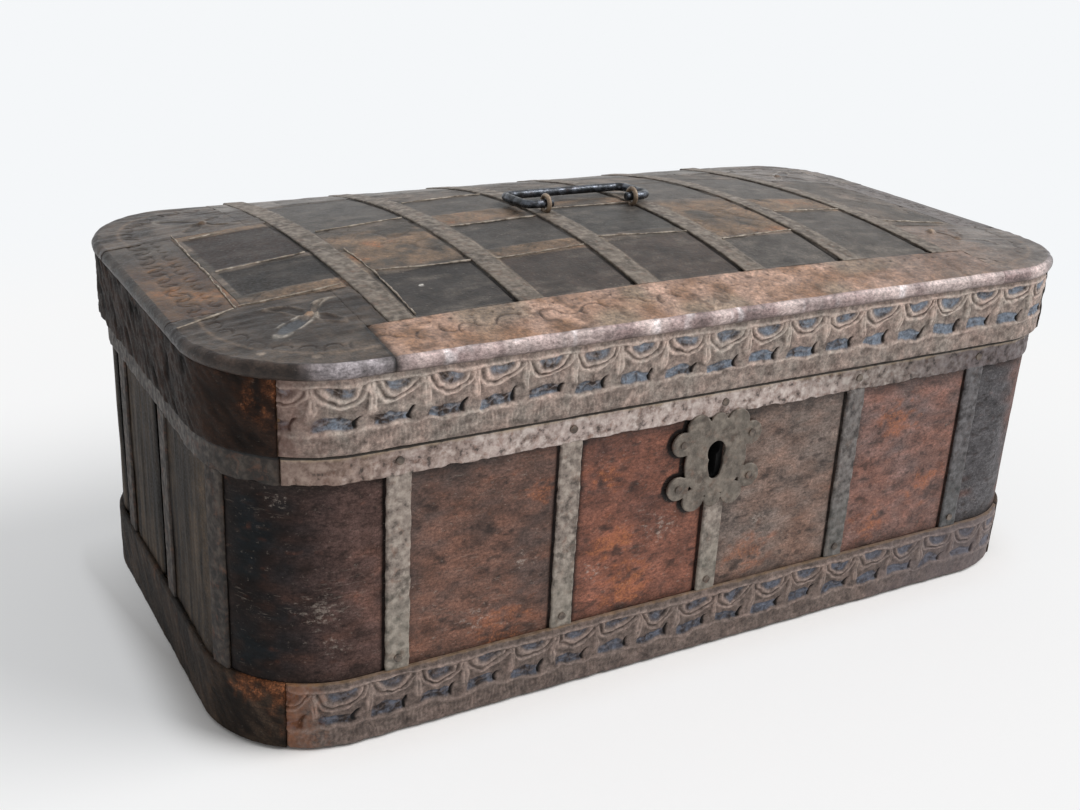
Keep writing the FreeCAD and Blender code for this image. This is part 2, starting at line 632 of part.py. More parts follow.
bolt_bar = bolt_box("BoltBar", f"{lock_low_x} - bolt_throw - lock_plate",
                    f"{lock_high_x} + bolt_stand_out", "0")
notch = box("BoltNotch", ("lock_middle - key_bow", INNER_FACE, f"{bolt_z} - bolt_side"),
            ("lock_middle + key_bow", lock_out_y, f"{bolt_z} - bolt_side / 2 + bolt_notch"))
node(cut("Bolt", bolt_bar, notch), "bolt")

staple_x = f"({lock_high_x} + staple_gap + staple_width / 2)"
tongue_half = "(bolt_side / 2 + staple_clearance + staple_bar)"
tongue = box("StapleTongue", (f"{staple_x} - staple_width / 2", f"{bolt_y} - {tongue_half}",
                              f"{bolt_z} - {tongue_half}"),
             (f"{staple_x} + staple_width / 2", f"{bolt_y} + {tongue_half}", f"{LID_LOW} + staple_plate / 2"))
plate = box("StaplePlate", (f"{staple_x} - staple_plate / 2", INNER_FACE, LID_LOW),
            (f"{staple_x} + staple_plate / 2", f"{bolt_y} - {tongue_half}", f"{LID_LOW} + staple_plate"))
loop = bolt_box("StapleLoop", f"{staple_x} - staple_width", f"{staple_x} + staple_width", "staple_clearance")
node(cut("LidStaple", fuse("LidStapleBlank", tongue, plate), loop), "lid_staple")

# Escutcheon: a plate with ten round lobes over the middle strip and the rim's edge.

# Each lobe's place from the middle, to the right and up, and its radius.
LOBES = ((0, 21, 5), (12, 19.5, 7), (21, 12, 6.5), (22, -12, 6.5), (12, -20, 6.5), (0, -21, 5),
         (-12, 19.5, 7), (-21, 12, 6.5), (-22, -12, 6.5), (-12, -20, 6.5))
plate_face = f"({FRONT} - {IRON} - escutcheon_thickness)"
plate_z = "(case_height - escutcheon_drop)"
discs = [rod("EscutcheonMiddle", "y", "escutcheon_disc", "escutcheon_thickness", "lock_middle", plate_face,
             plate_z)]
for number, (x, z, radius) in enumerate(LOBES):
    discs.append(rod(f"Lobe{number}", "y", str(radius), "escutcheon_thickness", f"lock_middle + ({x})",
                     plate_face, f"{plate_z} + ({z})"))
node(cut("Escutcheon", fuse("EscutcheonBlank", *discs), keyhole), "escutcheon")

# Nails through the bands, the strips' ends and the escutcheon's lobes.


def nail(name, x, face_y, z, side):
    """A nail driven in along Y at a face, from the front (-1) or the back (1)."""
    head_y, shank_y = (f"({face_y}) - nail_head_height", face_y)
    if side > 0:
        head_y, shank_y = face_y, f"({face_y}) - nail_length"
    head = rod(name + "Head", "y", "nail_head", "nail_head_height", x, head_y, z)
    shank = rod(name + "Shank", "y", "nail_shank", "nail_length", x, shank_y, z)
    return fuse(name, head, shank)


rim_mid = "(case_height - rim_band_height / 2)"
foot_mid = f"({STRIP_LOW} + strip_width / 2)"
BESIDE_HINGES = (2, 4)
NAILED_LOBES = (2, 3, 7, 8)
nails = []
for number in range(1, 6):
    x = f"{number - 3} * {STRIP_PITCH}"
    for side, sign, direction in (("Front", "-", -1), ("Back", "", 1)):
        rim_face = f"{sign}(case_width / 2 + rim_band_thickness)"
        strip_face = f"{sign}(case_width / 2 + strip_thickness)"
        if side == "Front" or number not in BESIDE_HINGES:
            nails.append(nail(f"{side}RimNail{number}", x, rim_face, rim_mid, direction))
        nails.append(nail(f"{side}StripNail{number}", x, strip_face, foot_mid, direction))
for number in NAILED_LOBES:
    x, z, radius = LOBES[number]
    nails.append(nail(f"LobeNail{number}", f"lock_middle + ({x})", plate_face, f"{plate_z} + ({z})", -1))
for number in HINGED:
    for row in (0, 1):
        nails.append(nail(f"LeafNail{number}{row}", f"{number - 3.5} * {STRAP_PITCH}",
                          f"{LEAF_Y} + leaf_thickness",
                          f"case_height - leaf_height + leaf_nail_edge + {row} * leaf_nail_pitch", 1))
node(group("CaseNails", *nails), "case_nails")

doc.recompute()

# Every object has to be sound before anything is written.

failed = [item.Name for item in doc.Objects if "Invalid" in item.State or "Error" in item.State]
if failed:
    raise RuntimeError("objects that failed: " + ", ".join(failed))
for item in NODES:
    if item.Shape.isNull() or not item.Shape.isValid() or not item.Shape.Solids:
        raise RuntimeError("no sound solid in " + item.Label)

os.makedirs("parts", exist_ok=True)
for item in NODES:
    item.Shape.exportStep(f"parts/{item.Label}.step")
print(len(NODES), "nodes,", sum(len(item.Shape.Solids) for item in NODES), "solids")
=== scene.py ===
import math

import bmesh
import bpy
import numpy as np
from mathutils import Matrix, Vector


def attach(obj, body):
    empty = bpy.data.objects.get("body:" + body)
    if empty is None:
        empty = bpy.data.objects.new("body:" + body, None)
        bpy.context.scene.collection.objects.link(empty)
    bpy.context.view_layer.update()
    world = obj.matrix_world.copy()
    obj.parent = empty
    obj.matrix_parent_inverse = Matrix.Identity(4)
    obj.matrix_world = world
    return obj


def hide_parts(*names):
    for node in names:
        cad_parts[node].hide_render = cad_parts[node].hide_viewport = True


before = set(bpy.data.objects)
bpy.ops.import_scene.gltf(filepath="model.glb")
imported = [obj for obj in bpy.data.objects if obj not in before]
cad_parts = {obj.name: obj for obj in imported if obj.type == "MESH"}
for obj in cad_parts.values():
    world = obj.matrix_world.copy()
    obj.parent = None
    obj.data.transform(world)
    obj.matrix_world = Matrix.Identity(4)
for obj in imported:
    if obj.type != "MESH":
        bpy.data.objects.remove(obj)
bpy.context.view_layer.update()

scene = bpy.context.scene
scene.view_settings.view_transform = "Standard"

# ---------------------------------------------------------------- floor, light and camera
# The coffer stands on a plain pale floor that runs out of sight, under one large soft
# light from the right and above, with even light from all round.


def tone(code):
    """An sRGB hex colour as linear red, green, blue and 1."""
    parts = [int(code[k:k + 2], 16) / 255 for k in (1, 3, 5)]
    return [c / 12.92 if c < 0.04045 else ((c + 0.055) / 1.055) ** 2.4 for c in parts] + [1.0]


def add(tree, kind, inputs={}, **settings):
    """Adds a node to a tree with its settings, its sockets' values and its links."""
    new = tree.nodes.new(kind)
    for name, value in settings.items():
        setattr(new, name, value)
    for socket, value in inputs.items():
        if isinstance(value, bpy.types.NodeSocket):
            tree.links.new(value, new.inputs[socket])
        else:
            new.inputs[socket].default_value = value
    return new


def reckon(tree, operation, *values):
    """One step of arithmetic on numbers."""
    return add(tree, "ShaderNodeMath", dict(enumerate(values)), operation=operation).outputs[0]


def reckon_3(tree, operation, *values):
    """One step of arithmetic on vectors; a length and a distance come out as numbers."""
    sockets = (0, "Scale") if operation == "SCALE" else (0, 1)
    made = add(tree, "ShaderNodeVectorMath", dict(zip(sockets, values)), operation=operation).outputs
    return made["Value" if operation in ("LENGTH", "DISTANCE") else 0]


def ranged(tree, value, low, high, start=0.0, end=1.0, **settings):
    """Goes from start to end as a value goes from low to high."""
    return add(tree, "ShaderNodeMapRange", {"Value": value, "From Min": low, "From Max": high,
                                            "To Min": start, "To Max": end}, **settings).outputs[0]


def seen(tree):
    """1 where a ray from the camera, a gloss or a glass meets the backdrop, else 0."""
    rays = add(tree, "ShaderNodeLightPath").outputs
    gloss = reckon(tree, "MAXIMUM", rays["Is Camera Ray"], rays["Is Glossy Ray"])
    return reckon(tree, "MAXIMUM", gloss, rays["Is Transmission Ray"])


BACKDROP = tone("#f5f7f9")
SKY_LIGHT = 0.42
LAMP_LIGHT = 2.45
SHADOW_LIFT = 0.45
FLOOR_HALF, FLOOR_LEVEL = 15.0, -0.0002
FOOT_CORNER = (0.195, 0.0765, 0)

world = bpy.data.worlds.new("pale studio")
scene.world = world
world.use_nodes = True
sky = world.node_tree
sky.nodes.clear()
even = add(sky, "ShaderNodeBackground", {"Color": tone("#ffffff"), "Strength": SKY_LIGHT})
backdrop = add(sky, "ShaderNodeBackground", {"Color": BACKDROP, "Strength": 1.0})
either = add(sky, "ShaderNodeMixShader", {0: seen(sky), 1: even.outputs[0], 2: backdrop.outputs[0]})
add(sky, "ShaderNodeOutputWorld", {"Surface": either.outputs[0]})

floor_mesh = bpy.data.meshes.new("floor")
floor_mesh.from_pydata([(x * FLOOR_HALF, y * FLOOR_HALF, FLOOR_LEVEL)
                        for x, y in ((-1, -1), (1, -1), (1, 1), (-1, 1))], [], [(0, 1, 2, 3)])
floor = bpy.data.objects.new("floor", floor_mesh)
scene.collection.objects.link(floor)

# Matt pale paper: it takes the soft shadow near the coffer and fades to the backdrop away
# from it.
paper = bpy.data.materials.new("matt_paper")
paper.use_nodes = True
tree = paper.node_tree
tree.nodes.clear()
spot = add(tree, "ShaderNodeTexCoord").outputs["Object"]
fade = ranged(tree, reckon_3(tree, "LENGTH", spot), 0.3, 0.9, interpolation_type="SMOOTHSTEP")
# The straight sides of the case end at the foot's corners, with 55 mm of rounding outside
# them. Past that, and behind the coffer, the shadow is lifted a little.
beside = reckon_3(tree, "SUBTRACT", reckon_3(tree, "ABSOLUTE", spot), FOOT_CORNER)
beside = reckon_3(tree, "LENGTH", reckon_3(tree, "MAXIMUM", beside, (0, 0, 0)))
lift = ranged(tree, beside, 0.056, 0.085, end=SHADOW_LIFT, interpolation_type="SMOOTHSTEP")
behind = add(tree, "ShaderNodeSeparateXYZ", {0: spot}).outputs[1]
behind = ranged(tree, behind, -0.03, 0.12, end=SHADOW_LIFT)
fade = reckon(tree, "MAXIMUM", reckon(tree, "MAXIMUM", fade, lift), behind)
fade = reckon(tree, "MULTIPLY", fade, seen(tree))
matt = add(tree, "ShaderNodeBsdfDiffuse", {"Color": tone("#fcfbfa")})
glow = add(tree, "ShaderNodeEmission", {"Color": BACKDROP, "Strength": 1.0})
either = add(tree, "ShaderNodeMixShader", {0: fade, 1: matt.outputs[0], 2: glow.outputs[0]})
add(tree, "ShaderNodeOutputMaterial", {"Surface": either.outputs[0]})
floor_mesh.materials.append(paper)

lamp = bpy.data.objects.new("soft_lamp", bpy.data.lights.new("soft_lamp", "SUN"))
lamp.data.energy = LAMP_LIGHT
lamp.data.angle = math.radians(38)
lamp.rotation_euler = Vector((0.80, -0.42, 0.92)).to_track_quat("Z", "Y").to_euler()
scene.collection.objects.link(lamp)

VIEW_TURN, VIEW_TILT, VIEW_ROLL = (math.radians(a) for a in (-30.6234, 22.1889, 3.0952))
VIEW_AWAY = 0.7705
aim = Vector((-0.0283, 0.0, 0.0942))
turned = (Matrix.Rotation(VIEW_TURN, 4, "Z") @ Matrix.Rotation(math.pi / 2 - VIEW_TILT, 4, "X")
          @ Matrix.Rotation(VIEW_ROLL, 4, "Z"))
camera = bpy.data.objects.new("camera", bpy.data.cameras.new("camera"))
camera.data.sensor_fit = "HORIZONTAL"
camera.data.lens = 44.264
camera.data.clip_start = 0.01
camera.matrix_world = Matrix.Translation(aim + turned.to_3x3() @ Vector((0, 0, VIEW_AWAY))) @ turned
scene.collection.objects.link(camera)
scene.camera = camera

# ---------------------------------------------------------------- case boards and posts
# Pine boards, sawn and planed by hand, with a solid quarter-round post in each corner; the
# floor board is let in between them. Seen only when the lid is up, brown with age.


def new_finish(name):
    """A fresh material, its tree, its shader and its object coordinates in mm."""
    finish = bpy.data.materials.new(name)
    finish.use_nodes = True
    made = finish.node_tree
    made.nodes.clear()
    shader = add(made, "ShaderNodeBsdfPrincipled")
    add(made, "ShaderNodeOutputMaterial", {"Surface": shader.outputs[0]})
    at = add(made, "ShaderNodeTexCoord").outputs["Object"]
    return finish, made, shader, reckon_3(made, "MULTIPLY", at, (1000, 1000, 1000))


def noise(tree, at, scale, detail, roughness=0.5, distortion=0.0):
    """Random patches from 0 to 1, about 1 / scale across."""
    return add(tree, "ShaderNodeTexNoise", {"Vector": at, "Scale": scale, "Detail": detail,
                                            "Roughness": roughness,
                                            "Distortion": distortion}).outputs["Fac"]


def blended(tree, share, first, second, kind="MIX"):
    """Two colours mixed by a share, each an sRGB hex code or a link."""
    first, second = (tone(c) if isinstance(c, str) else c for c in (first, second))
    return add(tree, "ShaderNodeMix", {0: share, 6: first, 7: second}, data_type="RGBA",
               blend_type=kind).outputs[2]


def over(finish, axis, start, end, colour, most=1.0, grain=8.0, blend="MIX"):
    """Lays a colour over a finish, coming in from start to end along x, y or z, in mm, with a
    ragged front whose tongues are grain mm long. MULTIPLY tints what is there."""
    made = finish.node_tree
    base = made.nodes["Principled BSDF"].inputs["Base Color"]
    at = add(made, "ShaderNodeTexCoord").outputs["Object"]
    place = add(made, "ShaderNodeSeparateXYZ", {0: at}).outputs[axis]
    share = ranged(made, place, start / 1000, end / 1000)
    share = reckon(made, "ADD", share, noise(made, at, 1000 / grain, 5.0, 0.7))
    share = ranged(made, share, 0.75, 1.25, end=most)
    made.links.new(blended(made, share, base.links[0].from_socket, colour, blend), base)


def roughened(tree, shader, *layers):
    """Bumps on a shader, one over another, each a height, its strength and its depth in m."""
    under = {}
    for height, strength, depth in layers:
        bump = add(tree, "ShaderNodeBump", {"Height": height, "Strength": strength,
                                            "Distance": depth, **under})
        under = {"Normal": bump.outputs[0]}
    tree.links.new(under["Normal"], shader.inputs["Normal"])


def sawn_pine(name, along):
    """Old softwood: straight grain along one axis, darker late-wood lines 2 to 4 mm apart."""
    finish, made, shader, at = new_finish(name)
    grained = reckon_3(made, "MULTIPLY", at, [0.012 if k == along else 0.28 for k in range(3)])
    rings = noise(made, grained, 1.0, 5.0, 0.6, 0.5)
    grain = blended(made, ranged(made, rings, 0.38, 0.62), "#6b4f35", "#98795a")
    aged = ranged(made, noise(made, at, 0.012, 4.0), 0.35, 0.7, end=0.65)
    made.links.new(blended(made, aged, grain, "#5a4736"), shader.inputs["Base Color"])
    roughened(made, shader, (rings, 0.5, 0.0004))
    shader.inputs["Roughness"].default_value = 0.72
    return finish


def dress(finish, *names):
    """Gives CAD nodes that keep their shape a finish."""
    for name in names:
        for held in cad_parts[name].material_slots:
            held.material = finish


pine_long = sawn_pine("sawn_pine_along_length", 0)
pine_deep = sawn_pine("sawn_pine_along_depth", 1)
pine_tall = sawn_pine("sawn_pine_posts", 2)
dress(pine_long, "bottom_board", "back_board")
dress(pine_deep, "left_end_board", "right_end_board")
dress(pine_tall, "front_left_post", "front_right_post", "back_left_post", "back_right_post")

# The front board is the same pine, painted black in and round its keyhole: painted shade inside the hole.
KEYHOLE = (-0.003, -0.126, 0.111)
pine_front = sawn_pine("sawn_pine_front_board", 0)
tree = pine_front.node_tree
spot = add(tree, "ShaderNodeTexCoord").outputs["Object"]
keyhole_shade = ranged(tree, reckon_3(tree, "DISTANCE", spot, KEYHOLE), 0.016, 0.022, 1.0, 0.0)
wood = tree.nodes["Principled BSDF"].inputs["Base Color"]
tree.links.new(blended(tree, keyhole_shade, wood.links[0].from_socket, "#060505"), wood)
dress(pine_front, "front_board")

# ---------------------------------------------------------------- hides on the case
# Vegetable-tanned hide, 1.5 mm, glued to the boards: four panels and two corner pieces in
# front, rubbed and rust-stained, and coarser, cracked pieces on the ends and the back.


def lumps(points, size, seed=0.0):
    """Smooth random heights from -1 to 1 at points in mm, in lumps about size mm across."""
    at = points / np.asarray(size, float) + 13.7 * seed + 100.0
    cell = np.floor(at).astype(np.int64)
    part = at - cell
    part = part * part * (3 - 2 * part)
    total = np.zeros(at.shape[:-1])
    for corner in range(8):
        step = np.array([(corner >> k) & 1 for k in range(3)])
        key = (cell + step) @ np.array([374761393, 668265263, 1442695041])
        key = ((key ^ (key >> 13)) * 1274126177) & 0x7fffffff
        value = ((key ^ (key >> 16)) & 0xffff) / 32767.5 - 1
        total += value * np.prod(np.where(step, part, 1 - part), axis=-1)
    return total


def ramp(value, low, high):
    """0 below low, 1 above high, and a smooth rise between."""
    part = np.clip((value - low) / (high - low), 0, 1)
    return part * part * (3 - 2 * part)


def mixed(first, second, share):
    """Two colours mixed by a share for each point."""
    first, second = (np.asarray(tone(c)[:3]) if isinstance(c, str) else c for c in (first, second))
    share = np.asarray(share)[..., None]
    return first * (1 - share) + second * share


def spread(x_from, x_to, z_from, z_to, step):
    """A grid over a piece drawn flat: its points' places along and up, in mm."""
    columns = max(2, round((x_to - x_from) / step)) + 1
    rows = max(2, round((z_to - z_from) / step)) + 1
    return np.meshgrid(np.linspace(x_from, x_to, columns), np.linspace(z_from, z_to, rows))


def margin(first, second):
    """Each point's distance from the nearest edge of its grid, in mm."""
    return np.minimum.reduce([first - first.min(), first.max() - first,
                              second - second.min(), second.max() - second])


def ridge(distance, width):
    """A rounded ridge of width mm, 1 on its line."""
    return np.exp(-(distance / (0.5 * width)) ** 2)


def rolled(distance, radius):
    """How far an edge rounded to radius mm drops at a distance in from it."""
    part = 1 - np.clip(distance / radius, 0, 1)
    return radius * (1 - np.sqrt(1 - part ** 2))


def plate(top, under, block=8, keep=None, open_ends=False, **looks):
    """A closed plate from two grids of points: worked cells on top, large plain ones under."""
    rows, columns = top.shape[0] - 1, top.shape[1] - 1
    keep = np.ones((rows, columns), bool) if keep is None else keep
    at = np.arange((rows + 1) * (columns + 1)).reshape(rows + 1, columns + 1)
    low = at + at.size
    round_it = np.zeros((rows + 2, columns + 2), bool)
    round_it[1:-1, 1:-1] = keep
    if open_ends:
        round_it[1:-1, 0] = round_it[1:-1, -1] = True
    corners = [at[:-1, :-1], at[:-1, 1:], at[1:, 1:], at[1:, :-1]]
    beside = [round_it[:-2, 1:-1], round_it[1:-1, 2:], round_it[2:, 1:-1], round_it[1:-1, :-2]]
    faces = np.stack([c[keep] for c in corners], 1).tolist()
    for k in range(4):
        edge = keep & ~beside[k]
        first, second = corners[k][edge], corners[(k + 1) % 4][edge]
        faces += np.stack([second, first, first + at.size, second + at.size], 1).tolist()
    for r in range(0, rows, block):
        for c in range(0, columns, block):
            if not keep[r, c]:
                continue
            r_end, c_end = min(r + block, rows), min(c + block, columns)
            sides = [(low[r, c:c_end + 1], round_it[r, c + 1]),
                     (low[r:r_end + 1, c_end], round_it[r + 1, c_end + 1]),
                     (low[r_end, c:c_end + 1][::-1], round_it[r_end + 1, c + 1]),
                     (low[r:r_end + 1, c][::-1], round_it[r + 1, c])]
            outline = [p for side, joined in sides for p in (side[:1] if joined else side[:-1])]
            faces.append([int(p) for p in outline[::-1]])
    points = np.concatenate([top.reshape(-1, 3), under.reshape(-1, 3)])
    used = np.unique(np.concatenate([np.asarray(f) for f in faces]))
    number = np.zeros(len(points), np.int64)
    number[used] = np.arange(len(used))
    number = number.tolist()
    faces = [[number[p] for p in f] for f in faces]
    looks["face"] = np.ones(top.shape[:2])
    kept = {}
    for name, values in looks.items():
        flat = values.reshape(at.size, -1)
        both = np.concatenate([flat, flat * (0 if name == "face" else 1)])[used]
        kept[name] = both if both.shape[1] > 1 else both[:, 0]
    return points[used], faces, kept


def make(name, *parts, finish=None):
    """A mesh object of closed parts, each its points in mm, its faces and its looks."""
    points, faces, count = [], [], 0
    for at, sides, looks in parts:
        points.append(at)
        faces += [[p + count for p in side] for side in sides] if count else sides
        count += len(at)
    mesh = bpy.data.meshes.new(name)
    mesh.from_pydata((np.concatenate(points) * 0.001).tolist(), [], faces)
    on_top = np.concatenate([part[2]["face"] for part in parts])
    corner_points, first_corners = np.empty(len(mesh.loops), int), np.empty(len(mesh.polygons), int)
    mesh.loops.foreach_get("vertex_index", corner_points)
    mesh.polygons.foreach_get("loop_start", first_corners)
    worked = np.minimum.reduceat(on_top[corner_points], first_corners) > 0.5
    mesh.polygons.foreach_set("use_smooth", worked)
    for look in parts[0][2]:
        values = np.concatenate([part[2][look] for part in parts])
        coloured = values.ndim == 2
        layer = mesh.attributes.new(look, "FLOAT_COLOR" if coloured else "FLOAT", "POINT")
        if coloured:
            values = np.concatenate([values, np.ones((len(values), 1))], 1)
        layer.data.foreach_set("color" if coloured else "value", values.astype(np.float32).ravel())
    if finish:
        mesh.materials.append(finish)
    piece = bpy.data.objects.new(name, mesh)
    scene.collection.objects.link(piece)
    return piece


def settle(piece, body, slot, *nodes):
    """A finished piece rides on its body and stands for its CAD nodes."""
    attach(piece, body)
    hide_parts(*nodes)


# Pieces are drawn flat, as seen from the front: x runs along the skin of the case from the
# middle of the front to the right, a piece stands off the skin towards -y, and z is up. The
# front lengths of the bands end at two seams, part of the way round the front corners.
CASE_LENGTH, CASE_WIDTH, CORNER = 500.0, 263.0, 55.0
QUARTER = CORNER * math.pi / 2
FRONT_RUN, END_RUN = CASE_LENGTH - 2 * CORNER, CASE_WIDTH - 2 * CORNER
ROUND = 2 * FRONT_RUN + 2 * END_RUN + 4 * QUARTER
BAND_SEAM_TURN = math.radians(34.5)
BAND_SEAM = FRONT_RUN / 2 + CORNER * BAND_SEAM_TURN
# Stretches in mm that take in all of a piece, and none of it.
EVERYWHERE, NOWHERE = (-9000, 9000), (8000, 9000)


def new_group(name, *labels, **kinds):
    """A Geometry Nodes tree: itself, its named inputs and their identifiers. Inputs are
    numbers where no kind is said."""
    made = bpy.data.node_groups.new(name, "GeometryNodeTree")
    codes = {}
    for label in ("Geometry", *labels, "Seed", "Finish"):
        kind = {"Geometry": "Geometry", "Finish": "Material", **kinds}.get(label, "Float")
        socket = made.interface.new_socket(name=label, in_out="INPUT", socket_type="NodeSocket" + kind)
        codes[label] = socket.identifier
    made.interface.new_socket(name="Geometry", in_out="OUTPUT", socket_type="NodeSocketGeometry")
    return made, add(made, "NodeGroupInput").outputs, codes


def made_plain(piece):
    """Turns a piece into the plain mesh that its modifiers make of it."""
    graph = bpy.context.evaluated_depsgraph_get()
    mesh = bpy.data.meshes.new_from_object(piece.evaluated_get(graph), depsgraph=graph,
                                           preserve_all_data_layers=True)
    piece.modifiers.clear()
    piece.data = mesh


def grown(piece, group, codes, values):
    """Runs a Geometry Nodes tree on a piece with these inputs, and keeps the plain mesh."""
    growth = piece.modifiers.new("grown", "NODES")
    growth.node_group = group
    for label, value in values.items():
        growth[codes[label]] = value
    made_plain(piece)


# Lays copies of a flat piece at each place and bends them round the rounded outline of the
# case. Their faces are worn unevenly and roll down at the two ends, and their lines wander.
laid, given, inlet = new_group("laid_round_the_case", "Piece", "Case Length", "Case Width",
                               "Corner Radius", "Front Middle", "From", "To", "End Roll", "Wear",
                               "Wear Size", "Wander", "Wander Size", "Rubbed From", "Rubbed To",
                               Piece="Object")
outline = add(laid, "GeometryNodeCurvePrimitiveQuadrilateral", {"Width": given["Case Length"],
                                                                "Height": given["Case Width"]})
outline = add(laid, "GeometryNodeFilletCurve", {"Curve": outline.outputs[0], "Count": 48,
                                                "Radius": given["Corner Radius"]}, mode="POLY")
outline = add(laid, "GeometryNodeResampleCurve", {"Curve": outline.outputs[0], "Length": 0.001},
              mode="LENGTH").outputs[0]
girth = add(laid, "GeometryNodeCurveLength", {0: outline}).outputs[0]
shape = add(laid, "GeometryNodeObjectInfo", {"Object": given["Piece"]}).outputs["Geometry"]
copies = add(laid, "GeometryNodeInstanceOnPoints", {"Points": given["Geometry"], "Instance": shape})
flat = add(laid, "GeometryNodeRealizeInstances", {0: copies.outputs[0]}).outputs[0]
flat = add(laid, "GeometryNodeMergeByDistance", {"Geometry": flat, "Distance": 1e-5}).outputs[0]
here = add(laid, "GeometryNodeInputPosition").outputs[0]
face, fixed, flute = (add(laid, "GeometryNodeInputNamedAttribute", {"Name": look},
                          data_type="FLOAT").outputs[0] for look in ("face", "fixed", "flute"))
wear, stray = (add(laid, "ShaderNodeTexNoise", {"Vector": here, "W": given["Seed"], "Detail": detail,
                                                "Scale": reckon(laid, "DIVIDE", 1.0, given[size])},
                   noise_dimensions="4D").outputs[kind]
               for size, detail, kind in (("Wear Size", 3.0, "Fac"), ("Wander Size", 2.0, "Color")))
wear = reckon(laid, "MULTIPLY", reckon(laid, "SUBTRACT", wear, 0.5), given["Wear"])
stray = reckon_3(laid, "SUBTRACT", stray, (0.5, 0.5, 0.5))
loose = reckon(laid, "MULTIPLY", reckon(laid, "SUBTRACT", 1.0, fixed), given["Wander"])
stray = reckon_3(laid, "SCALE", stray, loose)
place, lean = (add(laid, "ShaderNodeSeparateXYZ", {0: vector}).outputs for vector in (here, stray))
before = reckon(laid, "SUBTRACT", place[0], given["From"])
after = reckon(laid, "SUBTRACT", given["To"], place[0])
drop = ranged(laid, reckon(laid, "MINIMUM", before, after), 0.0, 0.0015, given["End Roll"], 0.0,
              interpolation_type="SMOOTHSTEP")
rubbed = ranged(laid, place[0], given["Rubbed From"], given["Rubbed To"], end=0.001)
height = reckon(laid, "SUBTRACT", wear, drop)
height = reckon(laid, "SUBTRACT", height, reckon(laid, "MULTIPLY", flute, rubbed))
height = reckon(laid, "SUBTRACT", reckon(laid, "MULTIPLY", height, face), place[1])
run = reckon(laid, "ADD", reckon(laid, "ADD", place[0], lean[0]), given["Front Middle"])
run = reckon(laid, "FLOORED_MODULO", run, girth)
sample = add(laid, "GeometryNodeSampleCurve", {"Curves": outline, "Length": run}, mode="LENGTH").outputs
outward = reckon_3(laid, "CROSS_PRODUCT", sample["Tangent"], (0, 0, 1))
outward = reckon_3(laid, "SCALE", reckon_3(laid, "NORMALIZE", outward), height)
rise = add(laid, "ShaderNodeCombineXYZ", {2: reckon(laid, "ADD", place[2], lean[2])}).outputs[0]
bent = reckon_3(laid, "ADD", reckon_3(laid, "ADD", sample["Position"], outward), rise)
done = add(laid, "GeometryNodeSetPosition", {"Geometry": flat, "Position": bent}).outputs[0]
done = add(laid, "GeometryNodeSetMaterial", {"Geometry": done, "Material": given["Finish"]}).outputs[0]
add(laid, "NodeGroupOutput", {0: done})


def lay_round(name, parts, along, finish, span=EVERYWHERE, roll=0.0, wear=0.0, wear_size=12.0,
              wander=0.0, wander_size=6.0, seed=1.0, rubbed=NOWHERE, cut=False, filled=True):
    """Copies of a flat piece, laid round the case at each place along its skin, in mm. With
    cut, what runs past the two seams of the front bands is cut off."""
    pattern = make(name + "_flat", *parts)
    places = bpy.data.meshes.new(name)
    places.from_pydata([(x * 0.001, 0, 0) for x in along], [], [])
    piece = bpy.data.objects.new(name, places)
    scene.collection.objects.link(piece)
    in_mm = {"Case Length": CASE_LENGTH, "Case Width": CASE_WIDTH, "Corner Radius": CORNER,
             "Front Middle": ROUND - FRONT_RUN / 2 - QUARTER - END_RUN, "From": span[0],
             "To": span[1], "End Roll": roll, "Wear": wear, "Wear Size": wear_size,
             "Wander": wander, "Wander Size": wander_size, "Rubbed From": rubbed[0],
             "Rubbed To": rubbed[1]}
    grown(piece, laid, inlet, {"Piece": pattern, "Seed": float(seed), "Finish": finish,
                               **{label: value / 1000 for label, value in in_mm.items()}})
    bpy.data.objects.remove(pattern)
    whole = bmesh.new()
    whole.from_mesh(piece.data)
    for side in (-1, 1) if cut else ():
        bmesh.ops.bisect_plane(whole, geom=whole.verts[:] + whole.edges[:] + whole.faces[:],
                               plane_co=(side * FRONT_RUN / 2000, -END_RUN / 2000, 0), clear_outer=True,
                               plane_no=(side * math.cos(BAND_SEAM_TURN), math.sin(BAND_SEAM_TURN), 0))
    if filled:
        bmesh.ops.holes_fill(whole, edges=[e for e in whole.edges if e.is_boundary])
    whole.to_mesh(piece.data)
    whole.free()
    return piece


def flat_piece(along, up, height, inner=0.0, **extra):
    """A plate drawn flat, its worked face height mm off the skin and its back inner mm off."""
    top = np.stack([along, -height, up], -1)
    under = np.stack([along, np.full_like(along, -inner), up], -1)
    return plate(top, under, **extra)


def look(tree, name, kind="Fac"):
    """A look kept on the points of a piece, as a number or as a Color."""
    return add(tree, "ShaderNodeAttribute", attribute_name=name).outputs[kind]


